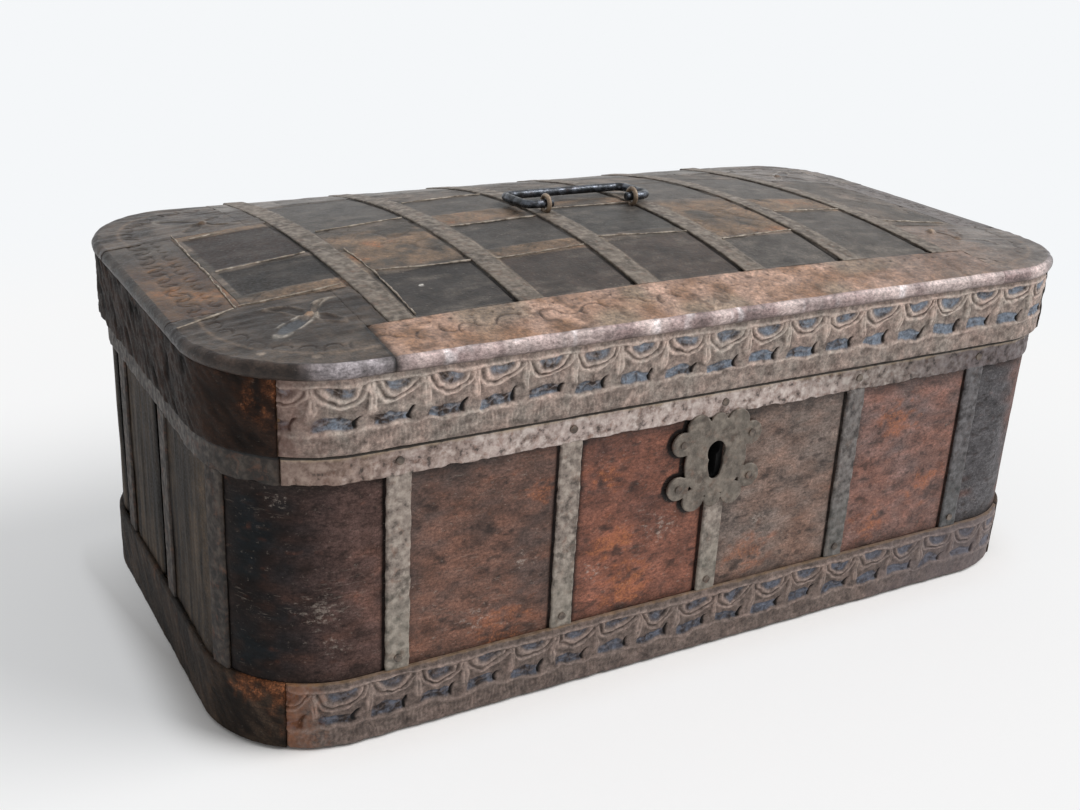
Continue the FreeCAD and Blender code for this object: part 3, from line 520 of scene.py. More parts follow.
def old_hide(name, speck, grain, roughness, crack=0.0, streak=0.0, shine=0.25):
    """Old tanned leather: its colour is painted on the piece, and so is where rust has stained
    it in grains (ember) and where its face has flaked (flaked); pores and fine cracks of grain
    mm, pale rubbed specks, scuffs along the piece, and a dull shine where hands polished it."""
    finish, made, shader, at = new_finish(name)
    paint, ember, flaked = look(made, "paint", "Color"), look(made, "ember"), look(made, "flaked")
    lying = reckon_3(made, "MULTIPLY", at, (0.6, 0.6, 1.0))
    fine = noise(made, lying, 0.8, 4.0, 0.7)
    pores = add(made, "ShaderNodeTexVoronoi", {"Vector": at, "Scale": 1 / grain},
                feature="DISTANCE_TO_EDGE").outputs["Distance"]
    share = reckon(made, "MULTIPLY", ranged(made, noise(made, lying, 0.13, 7.0, 0.68), 0.3, 0.7, 0.45, 1.6),
                   ranged(made, fine, 0.3, 0.7, 0.45, 1.6))
    colour = reckon_3(made, "SCALE", paint, share)
    drawn = reckon_3(made, "MULTIPLY", at, (0.14, 0.14, 1.0))
    scuff = ranged(made, noise(made, drawn, 0.9, 5.0, 0.75), 0.58, 0.72, end=streak)
    where = ranged(made, noise(made, at, 0.035, 2.0), 0.5, 0.64)
    colour = blended(made, reckon(made, "MULTIPLY", scuff, where), colour, "#9a8e84")
    rust = reckon(made, "MULTIPLY_ADD", ember, 0.12, noise(made, at, 0.6, 6.0, 0.85))
    rust = reckon(made, "MULTIPLY", ranged(made, rust, 0.56, 0.7), ember)
    colour = blended(made, rust, colour, "#b4724b")
    flake = reckon(made, "MULTIPLY_ADD", flaked, 0.13, noise(made, lying, 0.55, 5.0, 0.75))
    flake = reckon(made, "MULTIPLY", ranged(made, flake, 0.61, 0.72, end=speck),
                   reckon(made, "MULTIPLY_ADD", flaked, 0.5, 1.0))
    colour = blended(made, flake, colour, "#b9aca1")
    colour = blended(made, ranged(made, pores, 0.0, 0.12, crack, 0.0), colour, "#1d1613")
    made.links.new(colour, shader.inputs["Base Color"])
    gloss = ranged(made, fine, 0.3, 0.7, roughness - 0.12, roughness + 0.16)
    made.links.new(gloss, shader.inputs["Roughness"])
    roughened(made, shader, (pores, 0.25, 0.0003), (fine, 0.55, 0.0006))
    # The blackest paint, mostly painted shade in joints, gaps and cracks, has no shine at all.
    shine_outside_black = ranged(made, paint, 0.0007, 0.0045, end=shine)
    made.links.new(shine_outside_black, shader.inputs["Specular IOR Level"])
    return finish


front_hide = old_hide("rubbed_front_hide", speck=0.4, grain=1.6, roughness=0.5, crack=0.25, streak=0.6)
matt_hide = old_hide("matt_corner_hide", speck=0.3, grain=1.6, roughness=0.6, crack=0.3, streak=0.6,
                     shine=0.1)
end_hide = old_hide("cracked_end_hide", speck=0.15, grain=2.2, roughness=0.62, crack=0.5, shine=0.15)

HIDE_TOP, HIDE_FOOT = 135.4, 34.9
HIDE_INNER = -1.5
STRIP_PITCH, STRIP_WIDTH, STRIP_HEIGHT = 88.0, 12.0, 1.2
STRIP_2_RIGHT = -STRIP_PITCH + STRIP_WIDTH / 2 + 0.6
HIDE_GAP, SEAM_GAP = 0.4, 0.3
# Painted shade: the near-black laid in open joints, gaps and cracks, where shade falls.
GAP_SHADE = "#0b0908"
# The keyhole's middle; its round head's height and radius; its slot's height, and half its
# width and half its length.
KEYHOLE_X, KEYHOLE_HEAD, KEYHOLE_SLOT = -3.0, (116.5, 6.6), (108.0, 6.2, 9.5)
# Each front panel from the left: its own brown, its rust, and how much of it has gone to rust.
FRONT_PANELS = (("#574640", "#775344", 0.35), ("#5a3d35", "#875746", 0.6),
                ("#71645d", "#7f6457", 0.3), ("#6e5c58", "#855d50", 0.45))
# Where the rust glows, and where the face of the hide has flaked off: x, z and size in mm.
EMBERS = ((-61, 75, 15), (-66, 112, 12), (-50, 50, 18), (27, 50, 17), (-122, 41, 20), (-102, 112, 9),
          (122, 111, 16), (151, 67, 14), (114, 50, 12))
FLAKES = ((-31, 78, 10), (31, 70, 5), (-135, 52, 8), (-111, 78, 6), (-211, 72, 11), (-230, 127, 5),
          (-206, 54, 6), (-72, 62, 7))


def hide_face(along, up, seed, rough):
    """The lie of glued hide: slack lumps and a fine grain."""
    flat_at = np.stack([along, up * 0 + seed * 31, up], -1)
    height = 0.30 * lumps(flat_at, 26, seed) + 0.10 * lumps(flat_at, 7, seed + 1)
    height += rough * (0.22 * lumps(flat_at, (2.6, 9, 30), seed + 2)
                       + 0.30 * lumps(flat_at, (6, 9, 60), seed + 3))
    return height - 0.25


def spots(along, up, marks):
    """How near each point is to some marks: 1 on a mark, 0 well beyond its size."""
    near = [1 - np.hypot(along - x, 1.3 * (up - z)) / (1.6 * size) for x, z, size in marks]
    return np.clip(np.maximum.reduce(near), 0, 1)


PLATE_POINTS = np.array([v.co[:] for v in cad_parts["escutcheon"].data.vertices]) * 1000


def plate_shadow(along, up):
    """Painted shadow along the left edge of the escutcheon, away from the lamp: 1 at its outline."""
    low, high = PLATE_POINTS.min(0), PLATE_POINTS.max(0)
    near = (along > low[0] - 4) & (along < -STRIP_WIDTH) & (up > low[2] - 4) & (up < high[2] + 4)
    shadow = np.zeros_like(along)
    if near.any():
        across = along[near][:, None] + 0.4 - PLATE_POINTS[:, 0]
        away = np.hypot(across, up[near][:, None] - PLATE_POINTS[:, 2]).min(1)
        shadow[near] = 1 - ramp(away, 1.4, 2.1)
    return shadow


def aged_front(paint, along, up, rusty, line):
    """Rust, flaked spots, dark edges, and the open joint at a strip's left side, painted black as shadow.
    """
    flat_at = np.stack([along, up * 0, up], -1)
    speckle = 0.5 * lumps(flat_at, (6, 9, 3), 8) + 0.5 * lumps(flat_at, (3, 9, 1.8), 9)
    glow = ramp(spots(along, up, EMBERS) + 0.9 * speckle, 0.3, 0.9) * (0.35 + rusty)
    paint = mixed(paint, "#8c5034", np.clip(0.45 * glow, 0, 0.65))
    paint = mixed(paint, "#2c2320", 0.7 * ramp(-speckle, 0.15, 0.6))
    paint = mixed(paint, "#2a2422", 0.6 * (1 - ramp(margin(along, up), 0, 10)))
    # Painted shadow: near-black in the joint at each strip's left side, away from the lamp, and along the
    # escutcheon's left edge.
    joint = np.maximum(ridge(along - line, 2.4), ridge(along - STRIP_2_RIGHT, 1.8))
    paint = mixed(paint, GAP_SHADE, 0.97 * np.maximum(joint, plate_shadow(along, up)))
    looks = {"paint": paint, "ember": np.clip(0.9 * glow * (1 - joint), 0, 1),
             "flaked": spots(along, up, FLAKES)}
    return looks, hide_face(along, up, 3, 0.25) - 0.8 * joint


def unpierced(along, up):
    """The cells of a grid that the keyhole leaves whole, or None where it takes none."""
    x, z = (along[1:, 1:] + along[:-1, :-1]) / 2 - KEYHOLE_X, (up[1:, 1:] + up[:-1, :-1]) / 2
    slot = np.maximum(np.abs(x) - KEYHOLE_SLOT[1], np.abs(z - KEYHOLE_SLOT[0]) - KEYHOLE_SLOT[2])
    clear = np.minimum(np.hypot(x, z - KEYHOLE_HEAD[0]) - KEYHOLE_HEAD[1], slot) > 0
    return None if clear.all() else clear


for k, (brown, rust, rusty) in enumerate(FRONT_PANELS):
    x_from, x_to, node = (k - 2) * STRIP_PITCH, (k - 1) * STRIP_PITCH, f"front_leather_{k + 1}"
    along, up = spread(x_from + HIDE_GAP, x_to - HIDE_GAP, HIDE_FOOT, HIDE_TOP, 0.8)
    flat_at = np.stack([along, up * 0, up], -1)
    patch = lumps(flat_at, 24, 5) + 0.6 * lumps(flat_at, (13, 9, 8), 6) + 0.5 * lumps(flat_at, (7, 9, 3), 7)
    share = np.clip(rusty + 0.5 * patch + 0.3 * (1 - (up - HIDE_FOOT) / 60), 0, 1)
    line = x_to - STRIP_WIDTH / 2 - HIDE_GAP
    looks, height = aged_front(mixed(brown, rust, share), along, up, rusty, line)
    keep = unpierced(along, up)
    block = 8 if keep is None else 1
    parts = [flat_piece(along, up, height, HIDE_INNER, keep=keep, block=block, **looks)]
    panel = lay_round(node + "_hide", parts, [0.0], front_hide, filled=keep is None)
    settle(panel, "case", "front_hide", node)

OUTER_STRIP = 2 * STRIP_PITCH
CORNER_HIDE_END = FRONT_RUN / 2 + CORNER * math.radians(65)
for side, node in ((-1, "front_left_corner_leather"), (1, "front_right_corner_leather")):
    edges = sorted((side * (OUTER_STRIP + HIDE_GAP), side * CORNER_HIDE_END))
    along, up = spread(*edges, HIDE_FOOT, HIDE_TOP, 0.8)
    flat_at = np.stack([along, up * 0, up], -1)
    patch = lumps(flat_at, 22, 15) + 0.6 * lumps(flat_at, (9, 9, 5), 16)
    if side < 0:
        turn = ramp(along + 9 * patch, -CORNER_HIDE_END + 14, -186)
        paint = mixed(mixed("#15191c", "#1e1411", ramp(patch, -0.4, 0.6)), "#594540", turn)
        paint = mixed(paint, "#6d4a3c", 0.5 * turn * ramp(patch, 0.0, 0.9))
        line = -OUTER_STRIP - STRIP_WIDTH / 2 - HIDE_GAP
        looks, height = aged_front(paint, along, up, 0.1, line)
        # Painted shade: the joint at the hide's far end is painted near-black.
        end_joint = ridge(along + CORNER_HIDE_END, 2.4)
        looks["paint"] = mixed(looks["paint"], GAP_SHADE, 0.9 * end_joint)
    else:
        paint = mixed("#585658", "#5f4c48", ramp(patch, 0.0, 1.0))
        paint = mixed(paint, "#6b483d", 0.7 * ramp(along + 12 * patch + 0.3 * (up - 85), 205, 235))
        looks, height = aged_front(paint, along, up, 0.0, NOWHERE[0])
    parts = [flat_piece(along, up, height, HIDE_INNER, **looks)]
    panel = lay_round(node + "_hide", parts, [0.0], matt_hide)
    settle(panel, "case", "front_hide", node)

BACK_EDGE = FRONT_RUN / 2 + END_RUN + QUARTER * 1.5
END_HIDES = ((CORNER_HIDE_END + SEAM_GAP, BACK_EDGE, "right_end_leather"),
             (-BACK_EDGE, -CORNER_HIDE_END - SEAM_GAP, "left_end_leather"),
             (BACK_EDGE + SEAM_GAP, ROUND - BACK_EDGE - SEAM_GAP, "back_leather"))
# Beside the two strips nailed over each end the hide has shrunk into an open groove, painted black as shade
# in it: how far from a strip's middle, and how wide.
END_MIDDLE = FRONT_RUN / 2 + QUARTER + END_RUN / 2
END_STRIPS = (END_MIDDLE - 22, END_MIDDLE + 56)
SHRUNK_AT, SHRUNK_WIDTH = 17.0, 8.0
for x_from, x_to, node in END_HIDES:
    along, up = spread(x_from, x_to, HIDE_FOOT, HIDE_TOP, 1.3 if node == "back_leather" else 1.0)
    flat_at = np.stack([along, up * 0, up], -1)
    fibre = lumps(flat_at, (3.2, 9, 34), 21) + 0.7 * lumps(flat_at, (1.6, 9, 14), 22)
    patch = lumps(flat_at, (18, 9, 40), 23)
    paint = mixed("#1d1712", "#4b3f33", ramp(fibre + 0.7 * patch, -0.9, 1.3))
    paint = mixed(paint, "#0c0907", 0.8 * ramp(-fibre, 0.4, 0.9))
    shaded_gap = np.maximum.reduce([ridge(np.abs(along) - strip_at - SHRUNK_AT, SHRUNK_WIDTH)
                             for strip_at in END_STRIPS])
    # Painted shade: the groove beside each strip is painted black.
    paint = mixed(paint, "#020202", np.clip(1.3 * shaded_gap, 0, 1))
    height = np.maximum(hide_face(along, up, 5, 1.0) - 1.3 * shaded_gap, HIDE_INNER + 0.12)
    parts = [flat_piece(along, up, height, HIDE_INNER, paint=paint)]
    panel = lay_round(node + "_hide", parts, [0.0], end_hide)
    settle(panel, "case", "end_hide", node)

# ---------------------------------------------------------------- iron strips on the case
# Hammered strip iron, 12 mm wide, nailed over the joints of the hides: five in front, five
# behind, two on each end and one past each front corner.


def wrought_iron(name, dark, middle, pale, roughness, metal, pit=0.4, mottle=9.0, rust=0.35):
    """Hammered iron under old rust: blotches mottle mm wide between three colours, warm rust
    spots, and small pits that catch the light."""
    finish, made, shader, at = new_finish(name)
    blot, grit = noise(made, at, 1 / mottle, 6.0, 0.66), noise(made, at, 0.25, 4.0, 0.6)
    colour = blended(made, ranged(made, blot, 0.38, 0.56), dark, middle)
    colour = blended(made, ranged(made, grit, 0.46, 0.66), colour, pale)
    warm = ranged(made, noise(made, at, 0.21, 5.0, 0.7, 0.4), 0.54, 0.68, end=rust)
    colour = blended(made, warm, colour, "#7a4d35")
    colour = blended(made, ranged(made, grit, 0.33, 0.43, pit, 0.0), colour, "#211d1b")
    made.links.new(colour, shader.inputs["Base Color"])
    gloss = ranged(made, grit, 0.3, 0.7, roughness + 0.15, roughness - 0.1)
    made.links.new(gloss, shader.inputs["Roughness"])
    shader.inputs["Metallic"].default_value = metal
    roughened(made, shader, (grit, 0.7, 0.0006), (blot, 0.4, 0.0015))
    return finish


STRIP_FOOT, STRIP_TOP = 34.0, 136.0
strip_iron = wrought_iron("hammered_strip_iron", "#5f554e", "#887c73", "#a99d92", 0.6, 0.1, pit=0.6)
over(strip_iron, 2, 95, 45, "#75776b", most=0.3, grain=20)
over(strip_iron, 0, 35, 100, "#c0c6cf", grain=12, blend="MULTIPLY")
over(strip_iron, 0, 120, 165, "#dfe3ec", grain=14, blend="MULTIPLY")


def strip_shape(step, pierced=False):
    """One strip, drawn flat in cells of step mm, its edges rounded by filing."""
    along, up = spread(-STRIP_WIDTH / 2, STRIP_WIDTH / 2, STRIP_FOOT, STRIP_TOP, step)
    flat_at = np.stack([along, up * 0, up], -1)
    height = STRIP_HEIGHT - rolled(margin(along, up), 0.8) + 0.10 * lumps(flat_at, 5, 31)
    keep = unpierced(along, up) if pierced else None
    return flat_piece(along, up, height, keep=keep, block=1 if pierced else 8)


strips = lay_round("front_strips", [strip_shape(0.5)], STRIP_PITCH * np.array([-2, -1, 1, 2]), strip_iron,
                   wear=0.7, wear_size=6.0, wander=1.6, seed=3)
settle(strips, "case", "strip_iron", "front_strip_1", "front_strip_2", "front_strip_4", "front_strip_5")
middle_strip = lay_round("middle_strip", [strip_shape(0.5, pierced=True)], [0.0], strip_iron,
                         wear=0.7, wear_size=6.0, seed=4, filled=False)
settle(middle_strip, "case", "strip_iron", "front_strip_3")

BACK_MIDDLE = ROUND / 2
CORNER_STRIP = CORNER_HIDE_END + STRIP_WIDTH / 2
places = [BACK_MIDDLE + STRIP_PITCH * k for k in range(-2, 3)]
places += [at for strip_at in (*END_STRIPS, CORNER_STRIP) for at in (strip_at, ROUND - strip_at)]
dark_strip = wrought_iron("weathered_side_strip_iron", "#16110e", "#2b231e", "#42382f", 0.65, 0.1)
side_strips = lay_round("side_strips_laid", [strip_shape(0.7)], places, dark_strip,
                        wear=0.7, wear_size=6.0, wander=1.6, seed=8)
settle(side_strips, "case", "strip_iron", "side_strips")

# ---------------------------------------------------------------- base and lid bands
# Thick leather pressed over a carved block: half moons hung in swags, a leaf between, a
# painted foot below with a cut at its end, and a fluted hem. The rest of each band is plain.

TILE = 24.8
TILE_PLACES = -17.3 + TILE * np.arange(-9, 10)
BAND_LOW = 2.5


def pressed_tile(tall, thick, low):
    """One repeat of the ornament: a flat piece tall mm high from low, open at both sides."""
    columns, rows = 50, round(tall / 0.5)
    along, up = np.meshgrid(np.linspace(0, TILE, columns + 1), np.linspace(0, tall, rows + 1))
    top = tall - 4.8
    middle = TILE / 2
    moon = np.hypot((along - middle) / 7.0, (up - top) / (5.2 - 0.10 * (along - middle)))
    below = ramp(top + 0.3 - up, 0, 0.8)
    height = np.full_like(along, 0.35)
    height += 0.8 * ridge((moon - 1.17) * 7, 1.9) * below - 0.3 * ridge((moon - 1.42) * 7, 1.1) * below
    height += 0.8 * ridge((moon - 1.68) * 7, 1.7) * below * ramp(along + up, 16, 28)
    moon_in = (1 - ramp(moon, 0.7, 1.05)) * below
    height -= 0.4 * moon_in
    height += 0.4 * ridge((moon - 0.45) * 7, 1.4) * moon_in
    side = np.minimum(along, TILE - along)
    leaf_at = (up - (top - 7.5)) / 9.0
    leaf = np.hypot(side / (2.5 - 1.3 * leaf_at), leaf_at)
    height = np.maximum(height, 1.45 * (1 - ramp(leaf, 0.4, 1.05)))
    height -= 0.5 * ridge(side, 0.6) * (1 - ramp(leaf, 0.5, 0.9))
    foot_top = 18.4 - 0.16 * np.abs(along - middle + 3)
    foot = ramp(up, 12.2, 13.0) * (1 - ramp(up, foot_top - 1.0, foot_top))
    foot *= ramp(along, middle - 11.4, middle - 9.8) * (1 - ramp(along, middle + 3.8, middle + 4.8))
    height -= 0.6 * foot
    height += 0.5 * ridge(up - 15.6 - 0.6 * np.sin(along * 0.9), 1.0) * foot
    cut_line = middle + 4.8 + 0.2 * (up - 15.2) + 0.13 * (up - 15.2) ** 2
    cut = ridge(along - cut_line, 1.4) * ramp(up, 12.4, 13.4) * (1 - ramp(up, 17.8, 19.0))
    height -= 1.5 * cut
    height += 0.45 * ridge(up - 11.2, 1.8) + 0.7 * ridge(up - top - 0.9, 1.3)
    hem = ramp(up, 2.3, 3.4) * (1 - ramp(up, 9.0, 10.4))
    blue = np.maximum(moon_in, foot)
    depth = np.clip((height + 0.25) / 1.5, 0, 1)
    flute = 0.16 * np.cos(2 * math.pi * along / (TILE / 11)) * hem
    height += flute - 0.1 * hem
    height -= rolled(up, 2.0) * 0.7
    fixed = 1 - ramp(np.minimum(up, tall - up), 0.5, 7)
    return flat_piece(along, up + low, thick + height - 1.1, BAND_LOW if thick > 3 else 0.0,
                      open_ends=True, blue=blue, depth=depth, cut=np.clip(cut, 0, 1), flute=flute,
                      fixed=fixed)


def pressed_hide(name, high_tones, low_tone, paint_tone):
    """Pressed and painted leather: worn tan on the ridges, brown in the hollows, and what is
    left of the blue grey paint in the moons and feet."""
    finish, made, shader, at = new_finish(name)
    blue, depth, cut = look(made, "blue"), look(made, "depth"), look(made, "cut")
    fine, smudge = noise(made, at, 0.45, 6.0, 0.75), noise(made, at, 0.19, 5.0, 0.7)
    high = blended(made, ranged(made, noise(made, at, 0.07, 6.0, 0.7), 0.38, 0.64), *high_tones)
    dirty = reckon(made, "ADD", reckon(made, "MULTIPLY", smudge, 1.5), depth)
    colour = blended(made, ranged(made, dirty, 0.75, 1.6), low_tone, high)
    east = add(made, "ShaderNodeSeparateXYZ", {0: at}).outputs[0]
    kept = ranged(made, east, -170.0, 170.0, 0.06, -0.06)
    left = ranged(made, reckon(made, "SUBTRACT", smudge, kept), 0.36, 0.58, end=0.9)
    colour = blended(made, reckon(made, "MULTIPLY", left, blue), colour, paint_tone)
    colour = reckon_3(made, "SCALE", colour, ranged(made, fine, 0.3, 0.7, 0.45, 1.6))
    # Painted shade: the cut is painted near-black, as the shade inside it.
    colour = blended(made, ranged(made, cut, 0.35, 0.7), colour, "#0d0b0b")
    made.links.new(colour, shader.inputs["Base Color"])
    made.links.new(ranged(made, depth, 0.0, 1.0, 0.72, 0.42), shader.inputs["Roughness"])
    roughened(made, shader, (fine, 0.7, 0.0007))
    shader.inputs["Specular IOR Level"].default_value = 0.3
    return finish


BASE_LOW, BASE_TALL = 0.8, 34.7
base_hide = pressed_hide("pressed_base_band_hide", ("#83746c", "#8d7a71"), "#2a211e", "#5a606d")
over(base_hide, 0, 80, 200, "#645c60", most=0.45, grain=20)
over(base_hide, 0, -200, -244, "#8f5a3a", most=0.8, grain=3.5)
over(base_hide, 2, 33.4, 37.6, "#94754f", most=0.6, grain=7)
base_front = lay_round("base_band_front_pressed", [pressed_tile(BASE_TALL, 2.5, BASE_LOW)], TILE_PLACES,
                       base_hide, span=(-BAND_SEAM, BAND_SEAM), roll=1.2, wear=2.2, wear_size=9.0,
                       wander=9.0, wander_size=12.0, seed=5, rubbed=(-120, -20), cut=True)
settle(base_front, "case", "embossed_leather", "base_band_front")

plain_band = old_hide("plain_band_hide", speck=0.15, grain=2.0, roughness=0.6, crack=0.4, shine=0.1)


def plain_round(low, tall, outer, inner, light, dark, seed, rough, rust=0.0):
    """The length of a band that goes round the ends and the back, plain and wrinkled; rust has
    run over it where it meets the front length on the left."""
    along, up = spread(BAND_SEAM + SEAM_GAP, ROUND - BAND_SEAM - SEAM_GAP, low, low + tall, 1.0)
    flat_at = np.stack([along, up * 0, up], -1)
    slant = np.stack([along + 0.8 * up, up * 0, up - 0.3 * along], -1)
    crease = lumps(slant, (5, 9, 12), seed) + 0.7 * lumps(slant, (2.4, 9, 4.5), seed + 1)
    height = outer + rough * crease - rolled(margin(along, up), 1.4) * 0.8
    paint = mixed(dark, light, ramp(crease + 0.5 * lumps(flat_at, 20, seed + 2), -0.9, 1.1))
    stain = ramp(along, ROUND - BAND_SEAM - 40, ROUND - BAND_SEAM) + 0.5 * lumps(flat_at, 7, seed + 3)
    stain = rust * ramp(stain + (up - low - tall) / 22 + 0.5 * lumps(flat_at, 2.5, seed + 4), 0.0, 0.8)
    return flat_piece(along, up, height, inner, paint=mixed(paint, "#70442b", 0.6 * stain), ember=stain)


round_shape = plain_round(BASE_LOW, BASE_TALL, 2.3, 0.0, "#3f332a", "#15100d", 41, 0.2, 0.75)
base_round = lay_round("base_band_round_plain", [round_shape], [0.0], plain_band, seed=6)
settle(base_round, "case", "embossed_leather", "base_band_round")

# ---------------------------------------------------------------- rim band
# A 14 mm band of thin iron round the mouth of the case, the palest of the ironwork, pitted
# and warty, with its lower edge eaten ragged by rust. It is nailed through to the boards.
RIM_LOW, RIM_TOP = 135.0, 149.0
rim_iron = wrought_iron("pitted_rim_iron", "#85746c", "#b1a099", "#d2c5be", 0.6, 0.1, pit=0.75,
                        mottle=11.0, rust=0.55)
over(rim_iron, 0, -90, -235, "#c3b6ad", grain=9, blend="MULTIPLY")
over(rim_iron, 0, 25, 110, "#cbccca", grain=9, blend="MULTIPLY")
over(rim_iron, 0, 80, 190, "#b9b7c0", grain=9, blend="MULTIPLY")
over(rim_iron, 2, 144.8, 149.6, "#cbb596", most=0.7, grain=9)
# Painted shadow: a near-black line along the top, under the lid's overhang.
over(rim_iron, 2, 147.0, 147.8, "#0f0c0a", most=0.95, grain=20)
round_rim_iron = wrought_iron("browned_rim_iron", "#17110d", "#2b231d", "#433930", 0.6, 0.1, pit=0.6,
                              mottle=10.0, rust=0.3)
over(round_rim_iron, 0, -238, -212, "#5d4c40", most=0.5, grain=9)
# Painted shadow: a near-black line along the top, under the lid's overhang.
over(round_rim_iron, 2, 146.6, 147.6, "#0c0908", most=0.95, grain=20)
for name, x_from, x_to, finish, step in (
        ("rim_band_front", -BAND_SEAM, BAND_SEAM, rim_iron, 0.6),
        ("rim_band_round", BAND_SEAM + SEAM_GAP, ROUND - BAND_SEAM - SEAM_GAP, round_rim_iron, 0.9)):
    along, up = spread(x_from, x_to, RIM_LOW, RIM_TOP, step)
    flat_at = np.stack([along, up * 0, up], -1)
    eaten = 0.7 * lumps(flat_at * (1, 1, 0), 9, 51) + 0.8 * lumps(flat_at * (1, 1, 0), 3.2, 52)
    share = (RIM_TOP - up) / (RIM_TOP - RIM_LOW)
    up = up + share ** 2 * (0.35 + eaten)
    wart = ramp(lumps(flat_at, 2.6, 53) + 0.5 * lumps(flat_at, 5.5, 54), 0.2, 0.9)
    height = 1.2 + 0.35 * wart + 0.12 * lumps(flat_at, 8, 55) - rolled(margin(along, up), 0.9)
    rim = lay_round(name + "_laid", [flat_piece(along, up, height)], [0.0], finish, seed=9)
    settle(rim, "case", "rim_iron", name)

# ---------------------------------------------------------------- escutcheon and nails
# A lobed plate of filed iron round the keyhole, held by a nail in each corner lobe, and
# round-headed nails through the rim and the feet of the strips, each hammered by hand.


def worn_copy(name, node, voxel, seed, dents):
    """A CAD node's shape in small even faces, its edges rubbed round and its faces dented."""
    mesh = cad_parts[node].data.copy()
    merged = bmesh.new()
    merged.from_mesh(mesh)
    bmesh.ops.remove_doubles(merged, verts=merged.verts, dist=1e-6)
    merged.to_mesh(mesh)
    merged.free()
    piece = bpy.data.objects.new(name, mesh)
    scene.collection.objects.link(piece)
    even_faces = piece.modifiers.new("even", "REMESH")
    even_faces.mode = "VOXEL"
    even_faces.voxel_size = voxel / 1000
    even_faces.use_smooth_shade = True
    rub = piece.modifiers.new("rubbed", "SMOOTH")
    rub.factor = 0.5
    rub.iterations = 2
    made_plain(piece)
    rubbed = piece.data
    count = len(rubbed.vertices)
    points, normals = np.empty(count * 3), np.empty(count * 3)
    rubbed.vertices.foreach_get("co", points)
    rubbed.vertex_normals.foreach_get("vector", normals)
    points, normals = points.reshape(-1, 3), normals.reshape(-1, 3)
    at = points * 1000
    push = sum(depth * lumps(at, size, seed + k) for k, (size, depth) in enumerate(dents))
    rubbed.vertices.foreach_set("co", (points + normals * push[:, None] / 1000).ravel())
    rubbed.update()
    return piece


def finished(piece, finish):
    """Puts one finish on a piece in place of what it had."""
    piece.data.materials.clear()
    piece.data.materials.append(finish)


plate_iron = wrought_iron("filed_escutcheon_iron", "#564d45", "#6b635a", "#82786d", 0.55, 0.2,
                          pit=0.3, mottle=9.0, rust=0.25)
escutcheon = worn_copy("escutcheon_worn", "escutcheon", 0.4, 61, ((9, 0.14), (2.5, 0.08)))
# Keys have worn the slot's upper half wider, so that the hole is like a drop: how high, how
# far to each side and over what height, in mm.
WORN_AT, WORN_ASIDE, WORN_OVER = 109.5, 1.8, 5.0
for vertex in escutcheon.data.vertices:
    aside, up = vertex.co.x * 1000 - KEYHOLE_X, vertex.co.z * 1000 - WORN_AT
    worn_by = WORN_ASIDE * math.exp(-(up / WORN_OVER) ** 2)
    worn_by *= max(0.0, 1 - max(0.0, abs(aside) - 3.0) / 9.0)
    vertex.co.x += math.copysign(worn_by if abs(aside) > 2.5 else 0.0, aside) / 1000
finished(escutcheon, plate_iron)
settle(escutcheon, "case", "escutcheon_iron", "escutcheon")

nail_iron = wrought_iron("hammered_nail_iron", "#3a322d", "#544a42", "#776b60", 0.5, 0.2)
dress(nail_iron, "case_nails")

# ---------------------------------------------------------------- lock
# A forged lock behind the front board: its case, a leaf spring, the bolt and, on the lid,
# the staple that the bolt shoots into. Dark, oily iron, never cleaned.
lock_iron = wrought_iron("dark_lock_iron", "#2a2725", "#433e3a", "#6a625a", 0.45, 0.6)
dress(lock_iron, "lock_case", "bolt_spring", "bolt", "lid_staple")

# ---------------------------------------------------------------- lid boards
# The lid's frame of four pine rails and four corner blocks, with a board hollowed under
# the dome. It opens as one piece with all that covers it.
dress(pine_long, "lid_front_rail", "lid_back_rail", "lid_top_board")
dress(pine_deep, "lid_left_rail", "lid_right_rail")
dress(pine_tall, "lid_corner_blocks")

# ---------------------------------------------------------------- lid bands
# The same pressed leather round the lid, lighter in colour and better kept in front; round
# the ends and the back it is plain, dark and wrinkled like bark.
LID_LOW, LID_TALL = 149.4, 36.4
lid_hide = pressed_hide("pressed_lid_band_hide", ("#b3a79d", "#c1a99d"), "#362b26", "#76818f")
over(lid_hide, 0, -196, -240, "#6d5148", most=0.7, grain=7)
lid_front = lay_round("lid_band_front_pressed", [pressed_tile(LID_TALL, 5.0, LID_LOW)], TILE_PLACES,
                      lid_hide, span=(-BAND_SEAM, BAND_SEAM), roll=1.4, wear=1.9, wear_size=9.0,
                      wander=8.0, wander_size=12.0, seed=7, rubbed=(-110, 10), cut=True)
settle(lid_front, "lid", "embossed_leather", "lid_band_front")

round_shape = plain_round(LID_LOW, LID_TALL, 4.6, BAND_LOW, "#2f211a", "#070403", 44, 0.75, 0.5)
lid_round = lay_round("lid_band_round_plain", [round_shape], [0.0], plain_band, seed=8)
settle(lid_round, "lid", "embossed_leather", "lid_band_round")

# ---------------------------------------------------------------- lid cover
# Thin tooled leather over the dome: a field in dark panels between pale creased lines, four
# borders and four corner pieces whose outer edge is turned down into a polished bead.
LIP, DOME_EDGE, DOME_RISE = 6.2, 191.0, 18.0
BEAD_LOW, BEAD_RADIUS, COVER = 184.0, 3.5, 1.5
REACH_X, REACH_Y = CASE_LENGTH / 2 + LIP, CASE_WIDTH / 2 + LIP
FIELD_X, FIELD_Y, BORDER_END, END_HALF, MOUNT_X = 221.0, 104.0, 180.0, 60.0, 169.25
STRAP_PITCH, STRAP_WIDTH = 65.3, 12.0


def dome(x, y):
    """The height of the cover's outer face, in mm."""
    return DOME_EDGE + DOME_RISE * (1 - (x / REACH_X) ** 2) * (1 - (y / REACH_Y) ** 2)


